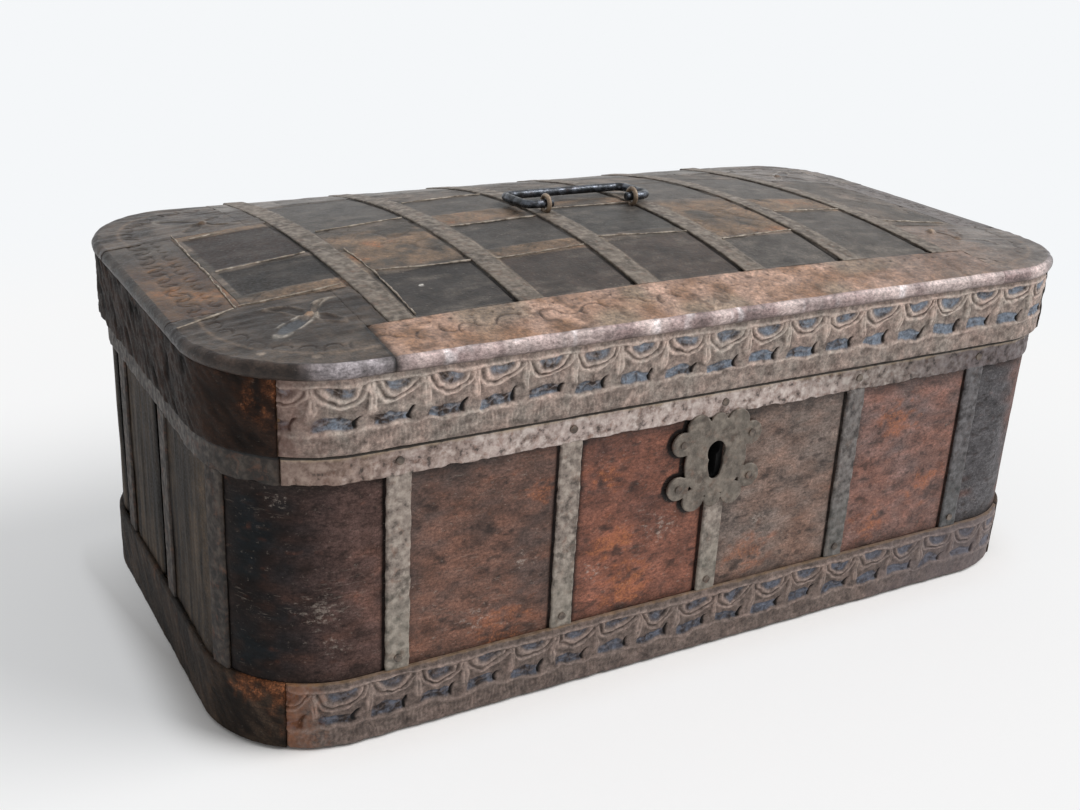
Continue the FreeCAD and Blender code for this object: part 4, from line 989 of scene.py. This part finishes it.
def skin_line(run):
    """Places on the case's skin, run mm from the front's middle: point and outward direction."""
    run = np.asarray(run, float)
    point, out = np.zeros(run.shape + (2,)), np.zeros(run.shape + (2,))
    side = np.sign(run) + (run == 0)
    far = np.abs(run)
    turn = np.clip((far - FRONT_RUN / 2) / CORNER, 0, math.pi / 2)
    end = np.clip(far - FRONT_RUN / 2 - QUARTER, 0, END_RUN)
    turn2 = np.clip((far - FRONT_RUN / 2 - QUARTER - END_RUN) / CORNER, 0, math.pi / 2)
    back = np.maximum(far - FRONT_RUN / 2 - 2 * QUARTER - END_RUN, 0)
    angle = turn + turn2
    out[..., 0], out[..., 1] = side * np.sin(angle), -np.cos(angle)
    x = np.minimum(far, FRONT_RUN / 2) - back + CORNER * np.sin(angle)
    point[..., 0] = side * x
    point[..., 1] = -END_RUN / 2 + end - CORNER * np.cos(angle)
    return point, out


def panelled(x, y):
    """The field's tooling: paint and height for each point."""
    at = np.stack([x, y, x * 0], -1)
    cloud = lumps(at, 16, 71) + 0.6 * lumps(at, 5, 72)
    paint = mixed("#4a443e", "#6e635a", ramp(cloud, -0.6, 0.9))
    smear = ramp(lumps(at, (16, 6, 9), 110) + 0.6 * lumps(at, (5, 2.5, 9), 111), 0.1, 1.0)
    height = 0.10 * lumps(at, 9, 73)
    scroll = np.abs(np.sin(0.30 * x + 2.6 * lumps(at, 12, 74)) + np.sin(0.33 * y + 2.6 * lumps(at, 12, 75)))
    groove = (1 - ramp(scroll, 0.05, 0.25)) * ramp(lumps(at, 20, 76), -0.5, 0.2)
    dark, ember = np.zeros_like(x), np.zeros_like(x)
    x, y = x + 0.7 * lumps(at, 17, 77), y + 0.9 * lumps(at, 17, 78)
    for x0, x1, y0, y1, shade, strength in PANELS:
        inside = np.minimum.reduce([x - x0, x1 - x, y - y0, y1 - y])
        share = ramp(inside, -0.6, 0.8)
        dark = np.maximum(dark, share)
        paint = mixed(paint, mixed(shade, "#3f3b38", 0.6 * ramp(cloud, -0.2, 1.2)), share * strength)
        height -= 0.35 * share
    paint = paint * (1 - 0.33 * dark[..., None])
    smeared = (0.15 + 0.15 * ramp(x, -180, -130) + 0.2 * ramp(x, -40, 90)) * smear * dark
    paint = mixed(paint, "#736b63", smeared)
    paint = mixed(paint, "#e2ddd6", 1 - ramp(np.hypot(x + 139.5, y + 72), 0.7, 1.3))
    for x0, x1, y0, y1 in TAN_BANDS:
        inside = np.minimum.reduce([x - x0, x1 - x, y - y0, y1 - y])
        share = ramp(inside, -3.0, 4.0) * (1 - dark)
        paint = mixed(paint, "#7c6652", 0.8 * share * ramp(cloud, -0.9, 0.3))
        paint = mixed(paint, "#875837", 0.4 * share * ramp(cloud, 0.4, 1.1))
        rusty = 0.75 - 0.5 * ramp(x, -110, -60)
        ember = np.maximum(ember, rusty * share * ramp(cloud, 0.1, 1.0))
    height -= 0.35 * groove * (1 - dark)
    paint = mixed(paint, "#3a302a", 0.5 * groove * (1 - dark))
    for number in range(6):
        beside = x + STRAP_WIDTH / 2 - STRAP_PITCH * (number - 2.5)
        # Painted shadow: a dark groove along each strap's left side, away from the lamp, and at its front
        # end.
        shaded_gap = ridge(beside + 0.8, 1.9) * (0.55 + 0.45 * ramp(y, -60, -100))
        shaded_gap = np.maximum(shaded_gap, 1 - ramp(np.hypot(beside + 0.5, y + 101.5), 1.4, 2.6))
        height -= 1.1 * shaded_gap
        paint = mixed(paint, "#0e0b0a", np.clip(shaded_gap * 1.2, 0, 0.95))
        # Painted highlight: a pale line along each strap's right edge, towards the lamp.
        painted_edge_highlight = ridge(beside - STRAP_WIDTH - 0.8, 1.4) * (1 - ramp(y, -40, 0)) * 0.55
        paint = mixed(paint, "#9a8c7c", painted_edge_highlight)
    return {"paint": paint, "ember": ember}, height


# The dark panels: from x, to x, from y, to y, colour and strength, set out by the maker
# between the straps; the tan bands lie between them.
PANELS = ((-217, -169, -5, 52, "#31241f", 0.95), (-217, -169, -46, -11, "#25201d", 0.95),
          (-157, -104, 26, 100, "#5e5a56", 0.8), (-157, -104, -103, -54, "#403c3a", 0.9),
          (-92, -39, -44, -4, "#514d4a", 0.85), (-92, -39, -103, -58, "#4b413c", 0.9),
          (-92, -39, 20, 60, "#5d5853", 0.7), (-27, 27, -44, 4, "#514e4b", 0.85),
          (-27, 27, -103, -54, "#564b45", 0.9), (-27, 27, 20, 64, "#5d5853", 0.6),
          (39, 92, -103, -65, "#6b6560", 0.9), (39, 92, 6, 60, "#66615c", 0.75),
          (104, 157, -103, -30, "#625c57", 0.85), (104, 157, 0, 70, "#69645f", 0.7))
TAN_BANDS = ((-157, -104, -50, 10), (-92, -39, -58, -42), (-92, -39, -2, 22), (-27, 27, 2, 22),
             (39, 92, -62, 0), (104, 157, -30, 0), (-221, -160, -60, -46), (-221, -169, 52, 80))


def cell_marks(end, corner, side_cells, middle_cells):
    """Places from -end to end, with cells of their own between and beyond -corner and corner."""
    runs = ((-end, -corner, side_cells), (-corner, corner, middle_cells), (corner, end, side_cells))
    return np.append(np.concatenate([np.linspace(*run, endpoint=False) for run in runs]), end)


x, y = np.meshgrid(cell_marks(FIELD_X, MOUNT_X, 48, 320), cell_marks(FIELD_Y, END_HALF, 40, 112))
middle_x, middle_y = (x[1:, 1:] + x[:-1, :-1]) / 2, (y[1:, 1:] + y[:-1, :-1]) / 2
keep = ~((np.abs(middle_x) > MOUNT_X) & (np.abs(middle_y) > END_HALF))
looks, height = panelled(x, y)
top = np.stack([x, y, dome(x, y) + height], -1)
under = np.stack([x, y, dome(x, y) - COVER], -1)
field_hide = old_hide("tooled_field_hide", speck=0.35, grain=1.4, roughness=0.5, crack=0.3)
field = make("field_leather_tooled", plate(top, under, keep=keep, **looks), finish=field_hide)
settle(field, "lid", "lid_field_leather", "field_leather")


# The creased lines: narrow welts of the leather itself, rubbed pale, one for each panel's
# edge. Each goes through its points, in plan.
CREASES = (((-219, 66), (-221, 30), (-222, -10), (-224, -60)), ((-225, -60), (-240, -65), (-253, -69)),
           ((-213, 53), (-204, 54), (-196, 55)), ((-218, -8), (-198, -8), (-172, -6)),
           ((-222, -58), (-195, -58), (-172, -56)), ((-154, -12), (-153, -30), (-153, -47), (-155, -101)),
           ((-153, -47), (-132, -52), (-105, -55)), ((-155, 24), (-130, 24), (-106, 25)),
           ((-91, -4), (-70, -5), (-41, -5)), ((-92, -57), (-70, -57), (-40, -55)),
           ((-26, -47), (0, -50), (26, -52)), ((-26, 6), (0, 5), (26, 4)),
           ((40, -66), (60, -64), (91, -61)), ((105, -28), (130, -28), (156, -26)),
           ((-90, 61), (-60, 62), (-40, 62)), ((170, -50), (190, -52), (216, -54)))

welts, given, welt_inlet = new_group("creased_welts", "Width", "Waver")
lines = add(welts, "GeometryNodeMeshToCurve", {0: given["Geometry"]}).outputs[0]
lines = add(welts, "GeometryNodeResampleCurve", {"Curve": lines, "Length": 0.0012},
            mode="LENGTH").outputs[0]
here = add(welts, "GeometryNodeInputPosition").outputs[0]
sway = add(welts, "ShaderNodeTexNoise", {"Vector": here, "W": given["Seed"], "Scale": 130.0,
                                         "Detail": 2.0}, noise_dimensions="4D").outputs
part = ranged(welts, sway["Fac"], 0.3, 0.6, start=0.25)
lines = add(welts, "GeometryNodeSetCurveRadius", {"Curve": lines, "Radius": part}).outputs[0]
sway = reckon_3(welts, "SUBTRACT", sway["Color"], (0.5, 0.5, 0.5))
sway = reckon_3(welts, "SCALE", reckon_3(welts, "MULTIPLY", sway, (1, 1, 0)), given["Waver"])
lines = add(welts, "GeometryNodeSetPosition", {"Geometry": lines, "Offset": sway}).outputs[0]
profile = add(welts, "GeometryNodeCurvePrimitiveCircle", {"Resolution": 8, "Radius": given["Width"]})
radius = add(welts, "GeometryNodeInputRadius").outputs[0]
raised = add(welts, "GeometryNodeCurveToMesh", {"Curve": lines, "Profile Curve": profile.outputs[0],
                                                "Scale": radius, "Fill Caps": True}).outputs[0]
raised = add(welts, "GeometryNodeSetShadeSmooth", {0: raised}).outputs[0]
raised = add(welts, "GeometryNodeSetMaterial", {"Geometry": raised, "Material": given["Finish"]})
add(welts, "NodeGroupOutput", {0: raised.outputs[0]})

points, edges = [], []
for crease in CREASES:
    marks = np.array(crease, float)
    reach = np.concatenate([[0], np.cumsum(np.hypot(*np.diff(marks, axis=0).T))])
    steps = np.linspace(0, reach[-1], max(3, round(reach[-1] / 4)))
    edges += [(len(points) + k, len(points) + k + 1) for k in range(len(steps) - 1)]
    for mark_x, mark_y in zip(np.interp(steps, reach, marks[:, 0]), np.interp(steps, reach, marks[:, 1])):
        points.append((mark_x / 1000, mark_y / 1000, (dome(mark_x, mark_y) + 0.15) / 1000))
crease_mesh = bpy.data.meshes.new("creased_lines")
crease_mesh.from_pydata(points, edges, [])
creases = bpy.data.objects.new("creased_lines", crease_mesh)
scene.collection.objects.link(creases)
# The creases need the same blotches and pits as old iron, in the colours of rubbed leather.
pale_crease = wrought_iron("rubbed_pale_crease", "#6b6156", "#94897c", "#b8ad9f", 0.7, 0.0, pit=0.5)
grown(creases, welts, welt_inlet, {"Width": 0.0006, "Waver": 0.0022, "Seed": 2.0, "Finish": pale_crease})
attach(creases, "lid")


# The rows of points round the bead, from below: the first six are tucked in under it and get painted shade,
# and a painted highlight runs near the eleventh.
BEAD_ANGLES = np.radians(np.linspace(-90, 82, 12))
TUCKED_ROWS, HIGHLIGHT_ROW = 6, 9.5


def edged(run, inner, rows, face):
    """A border or corner piece: from inner (a point for each place along) out over the dome
    and down round the bead. face gives paint and height at each point of the skin's plan."""
    point, out = skin_line(run)
    foot = point + out * (LIP - BEAD_RADIUS)
    half = (dome(foot[:, 0], foot[:, 1]) - BEAD_LOW) / 2
    grids, unders = [], []
    for angle in BEAD_ANGLES:
        for grid, thin in ((grids, 0.0), (unders, COVER)):
            reach = (BEAD_RADIUS - thin) * math.cos(angle)
            z = BEAD_LOW + half + (half - thin) * math.sin(angle)
            grid.append(np.concatenate([foot + out * reach, z[:, None]], 1))
    for share in np.linspace(0, 1, rows + 1):
        plan = foot * (1 - share) + inner * share
        z = dome(plan[:, 0], plan[:, 1])
        grids.append(np.concatenate([plan, z[:, None]], 1))
        unders.append(np.concatenate([plan, z[:, None] - COVER], 1))
    top, under = np.array(grids), np.array(unders)
    row, bead = np.arange(len(top))[:, None], np.zeros(top.shape[:2])
    bead[:len(BEAD_ANGLES)] = 1
    paint, height = face(top[..., 0], top[..., 1], bead, np.broadcast_to(run, bead.shape))
    # Painted shade on the underside of the bead.
    shade_under_bead = bead * ramp(-row, 0.5 - TUCKED_ROWS, -1.5)
    paint = mixed(paint, "#40352f", 0.7 * shade_under_bead)
    # Painted highlight along the bead's upper shoulder.
    painted_highlight = bead * ridge(row - HIGHLIGHT_ROW, 3.0)
    paint = paint * (1 + 0.4 * painted_highlight[..., None])
    away = np.concatenate([out, np.zeros((len(run), 1))], 1)
    outwards = np.concatenate([np.cos(BEAD_ANGLES), np.zeros(rows + 1)])
    upwards = np.sqrt(1 - outwards ** 2)
    upwards[:TUCKED_ROWS] = 0.0
    top = top + height[..., None] * (outwards[:, None, None] * away[None] + upwards[:, None, None]
                                     * np.array([0, 0, 1.0]))
    return plate(top, under, paint=paint)


def scrolls(run, across, pitch, radius, line):
    """Incised crescents in a row, each a little turned: 1 in the cut."""
    centre = (run / pitch - np.floor(run / pitch) - 0.5) * pitch
    ring = np.hypot(centre, across * 1.25)
    return ridge(ring - radius, line) * ramp(across - 0.35 * centre, -radius * 0.6, 0.5)


def beaded(paint, height, at, bead, colours):
    """The rubbed bead along the edge: polished, lilac and pink."""
    cloud = lumps(at, (14, 14, 4), 81) + 0.5 * lumps(at, 3, 82)
    rubbed = mixed(colours[0], colours[1], ramp(cloud, -0.7, 0.8))
    paint = mixed(paint, rubbed, bead)
    return paint, height + bead * 0.12 * lumps(at, 7, 83)


def front_face(x, y, bead, run):
    """The front border, warm tan: a row of crescents over a row of dots."""
    at = np.stack([x, y, bead * 3], -1)
    cloud = lumps(at, 12, 84) + 0.6 * lumps(at, 4, 85)
    paint = mixed("#8a6a54", "#b29382", ramp(cloud, -0.8, 0.9))
    paint = mixed(paint, "#8b8172", 0.6 * ramp(lumps(at, 22, 90), 0.1, 0.8))
    paint = mixed(paint, "#7d6a60", 0.9 * ramp(x + 25 * cloud, 60, 175))
    paint = mixed(paint, "#5c4536", 0.6 * ramp(lumps(at, 5, 100) + 0.6 * lumps(at, 2.4, 101), 0.4, 0.9))
    sway_x, sway_y = x + 2.5 * lumps(at, 15, 97), y + 2.0 * lumps(at, 15, 98)
    line = scrolls(sway_x, sway_y + 120.0, 21.0, 6.5, 1.3)
    under_line = scrolls(sway_x + 10, -(sway_y + 116.0), 21.0, 5.5, 1.1)
    line = line + under_line * ramp(lumps(at, 18, 99), -0.3, 0.4)
    line = line * ramp(150 - x, 0, 240) * (1 - bead) * ramp(lumps(at, 9, 86), -0.6, 0.1)
    from_dot = np.hypot((x / 10.5 - np.floor(x / 10.5) - 0.5) * 10.5, y + 109.5)
    dots = (1 - ramp(from_dot, 0.5, 1.1)) * (1 - bead)
    height = 0.18 * lumps(at, 9, 87) - 0.45 * np.clip(line, 0, 1) - 0.4 * dots
    paint = mixed(paint, "#3d2c24", np.clip(0.8 * line + 0.8 * dots, 0, 0.9))
    glint = ramp(lumps(at, (9, 14, 3), 79) + 0.5 * lumps(at, 3, 80), 0.3, 0.9) * bead
    paint, height = beaded(paint, height, at, bead, ("#8d7a78", "#b8a8a4"))
    # Painted shade: the crack where the border meets the corner piece is a groove painted near-black.
    crack = ridge(x + BORDER_END, 4.4)
    paint = mixed(mixed(paint, "#ddd5d6", 0.6 * glint), GAP_SHADE, 0.95 * crack)
    return paint, height - 0.7 * crack


def end_face(x, y, bead, run):
    """A border at an end, dark with handling: three rows of crescents."""
    at = np.stack([x, y, bead * 3], -1)
    cloud = lumps(at, 14, 88) + 0.6 * lumps(at, 4, 89)
    front_share = (1 - ramp(y, 0, 45)) if x.mean() < 0 else np.zeros_like(x)
    paint = mixed(mixed("#3f3833", "#544c45", ramp(cloud, -0.6, 0.8)),
                  mixed("#42322a", "#6c5440", ramp(cloud, -0.6, 0.8)), front_share)
    paint = mixed(paint, "#855a3a", 0.6 * front_share * ramp(cloud, 0.2, 1.0))
    sway_x, sway_y = np.abs(x) + 2.2 * lumps(at, 14, 97), y + 2.2 * lumps(at, 14, 98)
    line = scrolls(sway_y, sway_x - 240.0, 16.0, 5.5, 1.3)
    line = line + scrolls(sway_y + 8, 241.0 - sway_x, 16.0, 5.5, 1.3)
    line = line + scrolls(sway_y + 4, sway_x - 230.0, 13.0, 3.5, 1.1)
    line = np.clip(line, 0, 1) * (1 - bead)
    height = 0.18 * lumps(at, 8, 90) - 0.5 * line
    paint = mixed(paint, "#2b211c", 0.75 * line)
    if x.mean() > 0:
        paint = mixed(paint, "#706866", 0.5 * (1 - bead))
        return beaded(paint, height, at, bead, ("#383331", "#655f5d"))
    # Painted shade: on the left end, away from the lamp, the bead is painted dark.
    return beaded(paint, height, at, bead, ("#1d1713", "#3b322b"))


def back_face(x, y, bead, run):
    """The back border, grey and little handled: one row of crescents."""
    at = np.stack([x, y, bead * 3], -1)
    cloud = lumps(at, 14, 91) + 0.6 * lumps(at, 4, 92)
    paint = mixed("#55504b", "#77706a", ramp(cloud, -0.6, 0.8))
    line = scrolls(x, y - 120.0, 21.0, 6.5, 1.3) * (1 - bead)
    height = 0.18 * lumps(at, 9, 93) - 0.35 * line
    paint = mixed(paint, "#322a26", 0.6 * line)
    return beaded(paint, height, at, bead, ("#5b5553", "#837b78"))


BORDER_HIDES = (("front_border", (-BORDER_END, BORDER_END), front_face, 480, 34),
                ("right_border", (END_MIDDLE - END_HALF, END_MIDDLE + END_HALF), end_face, 160, 30),
                ("back_border", (BACK_MIDDLE - BORDER_END, BACK_MIDDLE + BORDER_END), back_face, 360, 26),
                ("left_border", (-END_MIDDLE - END_HALF, -END_MIDDLE + END_HALF), end_face, 160, 30))
border_hide = old_hide("tooled_border_hide", speck=0.25, grain=1.2, roughness=0.42, crack=0.2)
for node, (run_from, run_to), face, columns, rows in BORDER_HIDES:
    run = np.linspace(run_from, run_to, columns + 1)
    if node == "back_border":
        plan = np.stack([-(run - BACK_MIDDLE), np.full_like(run, FIELD_Y)], 1)
        run = np.where(run > BACK_MIDDLE, run - ROUND, run)
    elif node == "front_border":
        plan = np.stack([run, np.full_like(run, -FIELD_Y)], 1)
    else:
        end_side = 1 if node == "right_border" else -1
        plan = np.stack([np.full_like(run, end_side * FIELD_X), end_side * run - END_MIDDLE], 1)
    border = make(node + "_tooled", edged(run, plan, rows, face), finish=border_hide)
    settle(border, "lid", "tooled_border", node)


def petal(x, y, angle, length, width, bend):
    """A bent petal from the origin along an angle: 0 at its middle, 1 on its outline."""
    along = x * math.cos(angle) + y * math.sin(angle)
    across = -x * math.sin(angle) + y * math.cos(angle) - bend * (along - length / 2) ** 2 / length
    return np.hypot((along - length / 2) / (length / 2), across / (width / 2))


def mount_face(x, y, bead, run):
    """A corner piece: a flower of four bent petals inside a row of crescents."""
    at = np.stack([x, y, bead * 3], -1)
    cloud = lumps(at, 13, 94) + 0.6 * lumps(at, 4, 95)
    side_x, side_y = np.sign(x.mean()), np.sign(y.mean())
    if side_x < 0:
        paint = mixed("#2e2621", "#564c44", ramp(cloud, -0.8, 0.9))
    else:
        paint = mixed("#554d48", "#776f69", ramp(cloud, -0.8, 0.9))
    if side_x > 0 and side_y < 0:
        paint = mixed(paint, "#816d60", 0.7 * (1 - ramp(x + 12 * cloud, 182, 225)))
    point, out = skin_line(run)
    inwards = np.hypot(x - point[..., 0], y - point[..., 1])
    scallop = scrolls(run + 2 * lumps(at, 12, 97), inwards - 12.0 + 2 * lumps(at, 12, 98), 12.5, 4.6, 1.3)
    scallop = scallop * (1 - bead) * ramp(lumps(at, 14, 99), -0.7, 0.1)
    flower_x, flower_y = side_x * x - 198.0, side_y * y - 83.0
    flower_x, flower_y = flower_x + 1.6 * lumps(at, 11, 86), flower_y + 1.6 * lumps(at, 11, 87)
    height = 0.35 * lumps(at, (22, 4, 9), 96) + 0.15 * lumps(at, (9, 2.5, 9), 93) - 0.5 * scallop
    paint = mixed(paint, "#2a211d", 0.75 * scallop)
    paint = mixed(paint, "#7d6b5b", 0.45 * ridge(inwards - 7.5, 2.0) * (1 - bead))
    clear = (0.85 if side_x < 0 and side_y < 0 else 0.35) * (1 - bead)
    broken = ramp(lumps(at, 5, 64), -0.5, 0.2)
    for degrees, length, width, bend, shade, edge in ((34, 26, 8.5, 0.5, "#575b60", "#bdb6ac"),
                                                      (144, 18, 7, -0.6, "#2c2420", "#5d5148"),
                                                      (234, 19, 4, -0.7, "#6d6156", "#b8ab9c"),
                                                      (306, 20, 7.5, 0.6, "#2b2521", "#75695e")):
        shape = petal(flower_x, flower_y, math.radians(degrees), length, width, bend)
        inside = 1 - ramp(shape, 0.7, 0.95)
        height -= 0.45 * inside * (1 - bead)
        paint = mixed(paint, shade, 0.9 * inside * clear)
        rim_line = ridge((shape - 1.08) * width / 2, 1.3) * clear * broken
        height += 0.5 * rim_line
        paint = mixed(paint, edge, 0.7 * rim_line)
    if side_x < 0 and side_y < 0:
        tips = spots(x, y, ((-231, -114, 3), (-210, -125, 3), (-190, -126, 3)))
        paint = mixed(paint, "#97887a", 0.7 * ramp(tips + 0.4 * broken, 0.7, 1.1) * (1 - bead))
        # Painted shade: the crack at the border's end is painted near-black.
        crack = ridge(x + BORDER_END, 3.6) * ramp(-y, 102, 106)
        paint = mixed(paint, GAP_SHADE, 0.95 * crack)
    if side_x > 0 and side_y < 0:
        # A raised button, painted pale: a painted highlight on its top.
        knob = 1 - ramp(np.hypot(x - 187, y + 73), 0.8, 4.0)
        height += 1.8 * knob
        paint = mixed(paint, "#94806d", 0.7 * knob)
    button = np.hypot(flower_x, flower_y)
    height += 0.9 * (1 - ramp(button, 0.8, 2.6)) * (1 - bead)
    paint = mixed(paint, "#8d7159", (1 - ramp(button, 1.5, 3.5)) * clear)
    paint, height = beaded(paint, height, at, bead, ("#56504f", "#7b7576"))
    near_front = np.abs(run) if side_y < 0 else np.full_like(x, NOWHERE[0])
    light_bead = mixed("#6b6566", "#a79fa2", ramp(cloud, -0.5, 0.6))
    if side_x < 0:
        # Painted shade: past the front corner the left bead is painted dark, away from the lamp, and the
        # crack across it near-black.
        shaded_bead = mixed("#181210", "#392f29", ramp(cloud, -0.6, 0.8))
        paint = mixed(paint, mixed(light_bead, shaded_bead, ramp(near_front, 203, 222)), bead)
        paint = mixed(paint, GAP_SHADE, 0.95 * bead * ridge(run + BORDER_END, 2.6))
    else:
        lilac_bead = mixed("#8d7a78", "#b8a8a4", ramp(cloud, -0.7, 0.8))
        paint = mixed(paint, lilac_bead, bead * (1 - ramp(near_front, 205, 235)))
    return paint, height


corner_hide = old_hide("tooled_corner_hide", speck=0.2, grain=1.6, roughness=0.4, crack=0.25)
parts = []
for side_x in (-1, 1):
    for side_y in (-1, 1):
        run = np.linspace(BORDER_END, END_MIDDLE - END_HALF, 176)
        if side_y > 0:
            run = ROUND / 2 - run[::-1]
        if side_x < 0:
            run = -run[::-1]
        plan = np.broadcast_to(np.array([side_x * BORDER_END, side_y * END_HALF]), (len(run), 2))
        parts.append(edged(run, plan, 90, mount_face))
        x_edges = sorted((side_x * MOUNT_X, side_x * BORDER_END))
        y_edges = sorted((side_y * END_HALF, side_y * FIELD_Y))
        x, y = spread(*x_edges, *y_edges, 0.9)
        run = np.full_like(x, side_x * BORDER_END)
        paint, height = mount_face(x, y, x * 0, run)
        top = np.stack([x, y, dome(x, y) + height], -1)
        under = np.stack([x, y, dome(x, y) - COVER], -1)
        parts.append(plate(top, under, paint=paint))
mounts = make("corner_mounts_tooled", *parts, finish=corner_hide)
settle(mounts, "lid", "corner_leather", "corner_mounts")

# ---------------------------------------------------------------- straps, leaves and pins
# Six straps of hammered iron over the dome, nailed through the cover. The second and the
# fifth run down the back and are rolled round the hinge pins; the leaves hold the pins.
strap_iron = wrought_iron("hammered_strap_iron", "#544c44", "#6e645a", "#83786c", 0.55, 0.15, pit=0.2,
                          mottle=16.0, rust=0.3)
# How far the straps have sunk into the leather of the dome, from what height, over how much.
STRAP_SINK, SINK_FROM, SINK_OVER = 0.0007, 0.186, 0.004
for number in range(1, 7):
    strap = worn_copy(f"lid_strap_{number}_hammered", f"lid_strap_{number}", 0.55, 100 + number,
                      ((14, 0.15), (4, 0.12)))
    for vertex in strap.data.vertices:
        vertex.co.z -= STRAP_SINK * min(1, max(0, (vertex.co.z - SINK_FROM) / SINK_OVER))
    finished(strap, strap_iron)
    settle(strap, "lid", "strap_iron", f"lid_strap_{number}")
leaves = worn_copy("hinge_leaves_hammered", "hinge_leaves", 0.5, 120, ((10, 0.10), (3, 0.08)))
finished(leaves, strap_iron)
settle(leaves, "case", "strap_iron", "hinge_leaves")
dress(strap_iron, "hinge_pins")

# ---------------------------------------------------------------- handle
# A forged bail of round iron, its ends turned in through two eyes whose shanks go down
# through the board. Hands have rubbed it smooth and nearly black.
handle_iron = wrought_iron("rubbed_handle_iron", "#1f2124", "#33363a", "#5c6068", 0.32, 0.75, pit=0.3,
                           mottle=9.0, rust=0.12)
bail = worn_copy("bail_forged", "bail", 0.4, 130, ((9, 0.14), (3, 0.05)))
finished(bail, handle_iron)
settle(bail, "bail", "handle_iron", "bail")
eye_iron = wrought_iron("worn_eye_iron", "#5b4d41", "#85725f", "#a8957f", 0.4, 0.3, rust=0.3)
eyes = worn_copy("handle_staples_forged", "handle_staples", 0.4, 135, ((5, 0.06),))
finished(eyes, eye_iron)
settle(eyes, "lid", "handle_iron", "handle_staples")
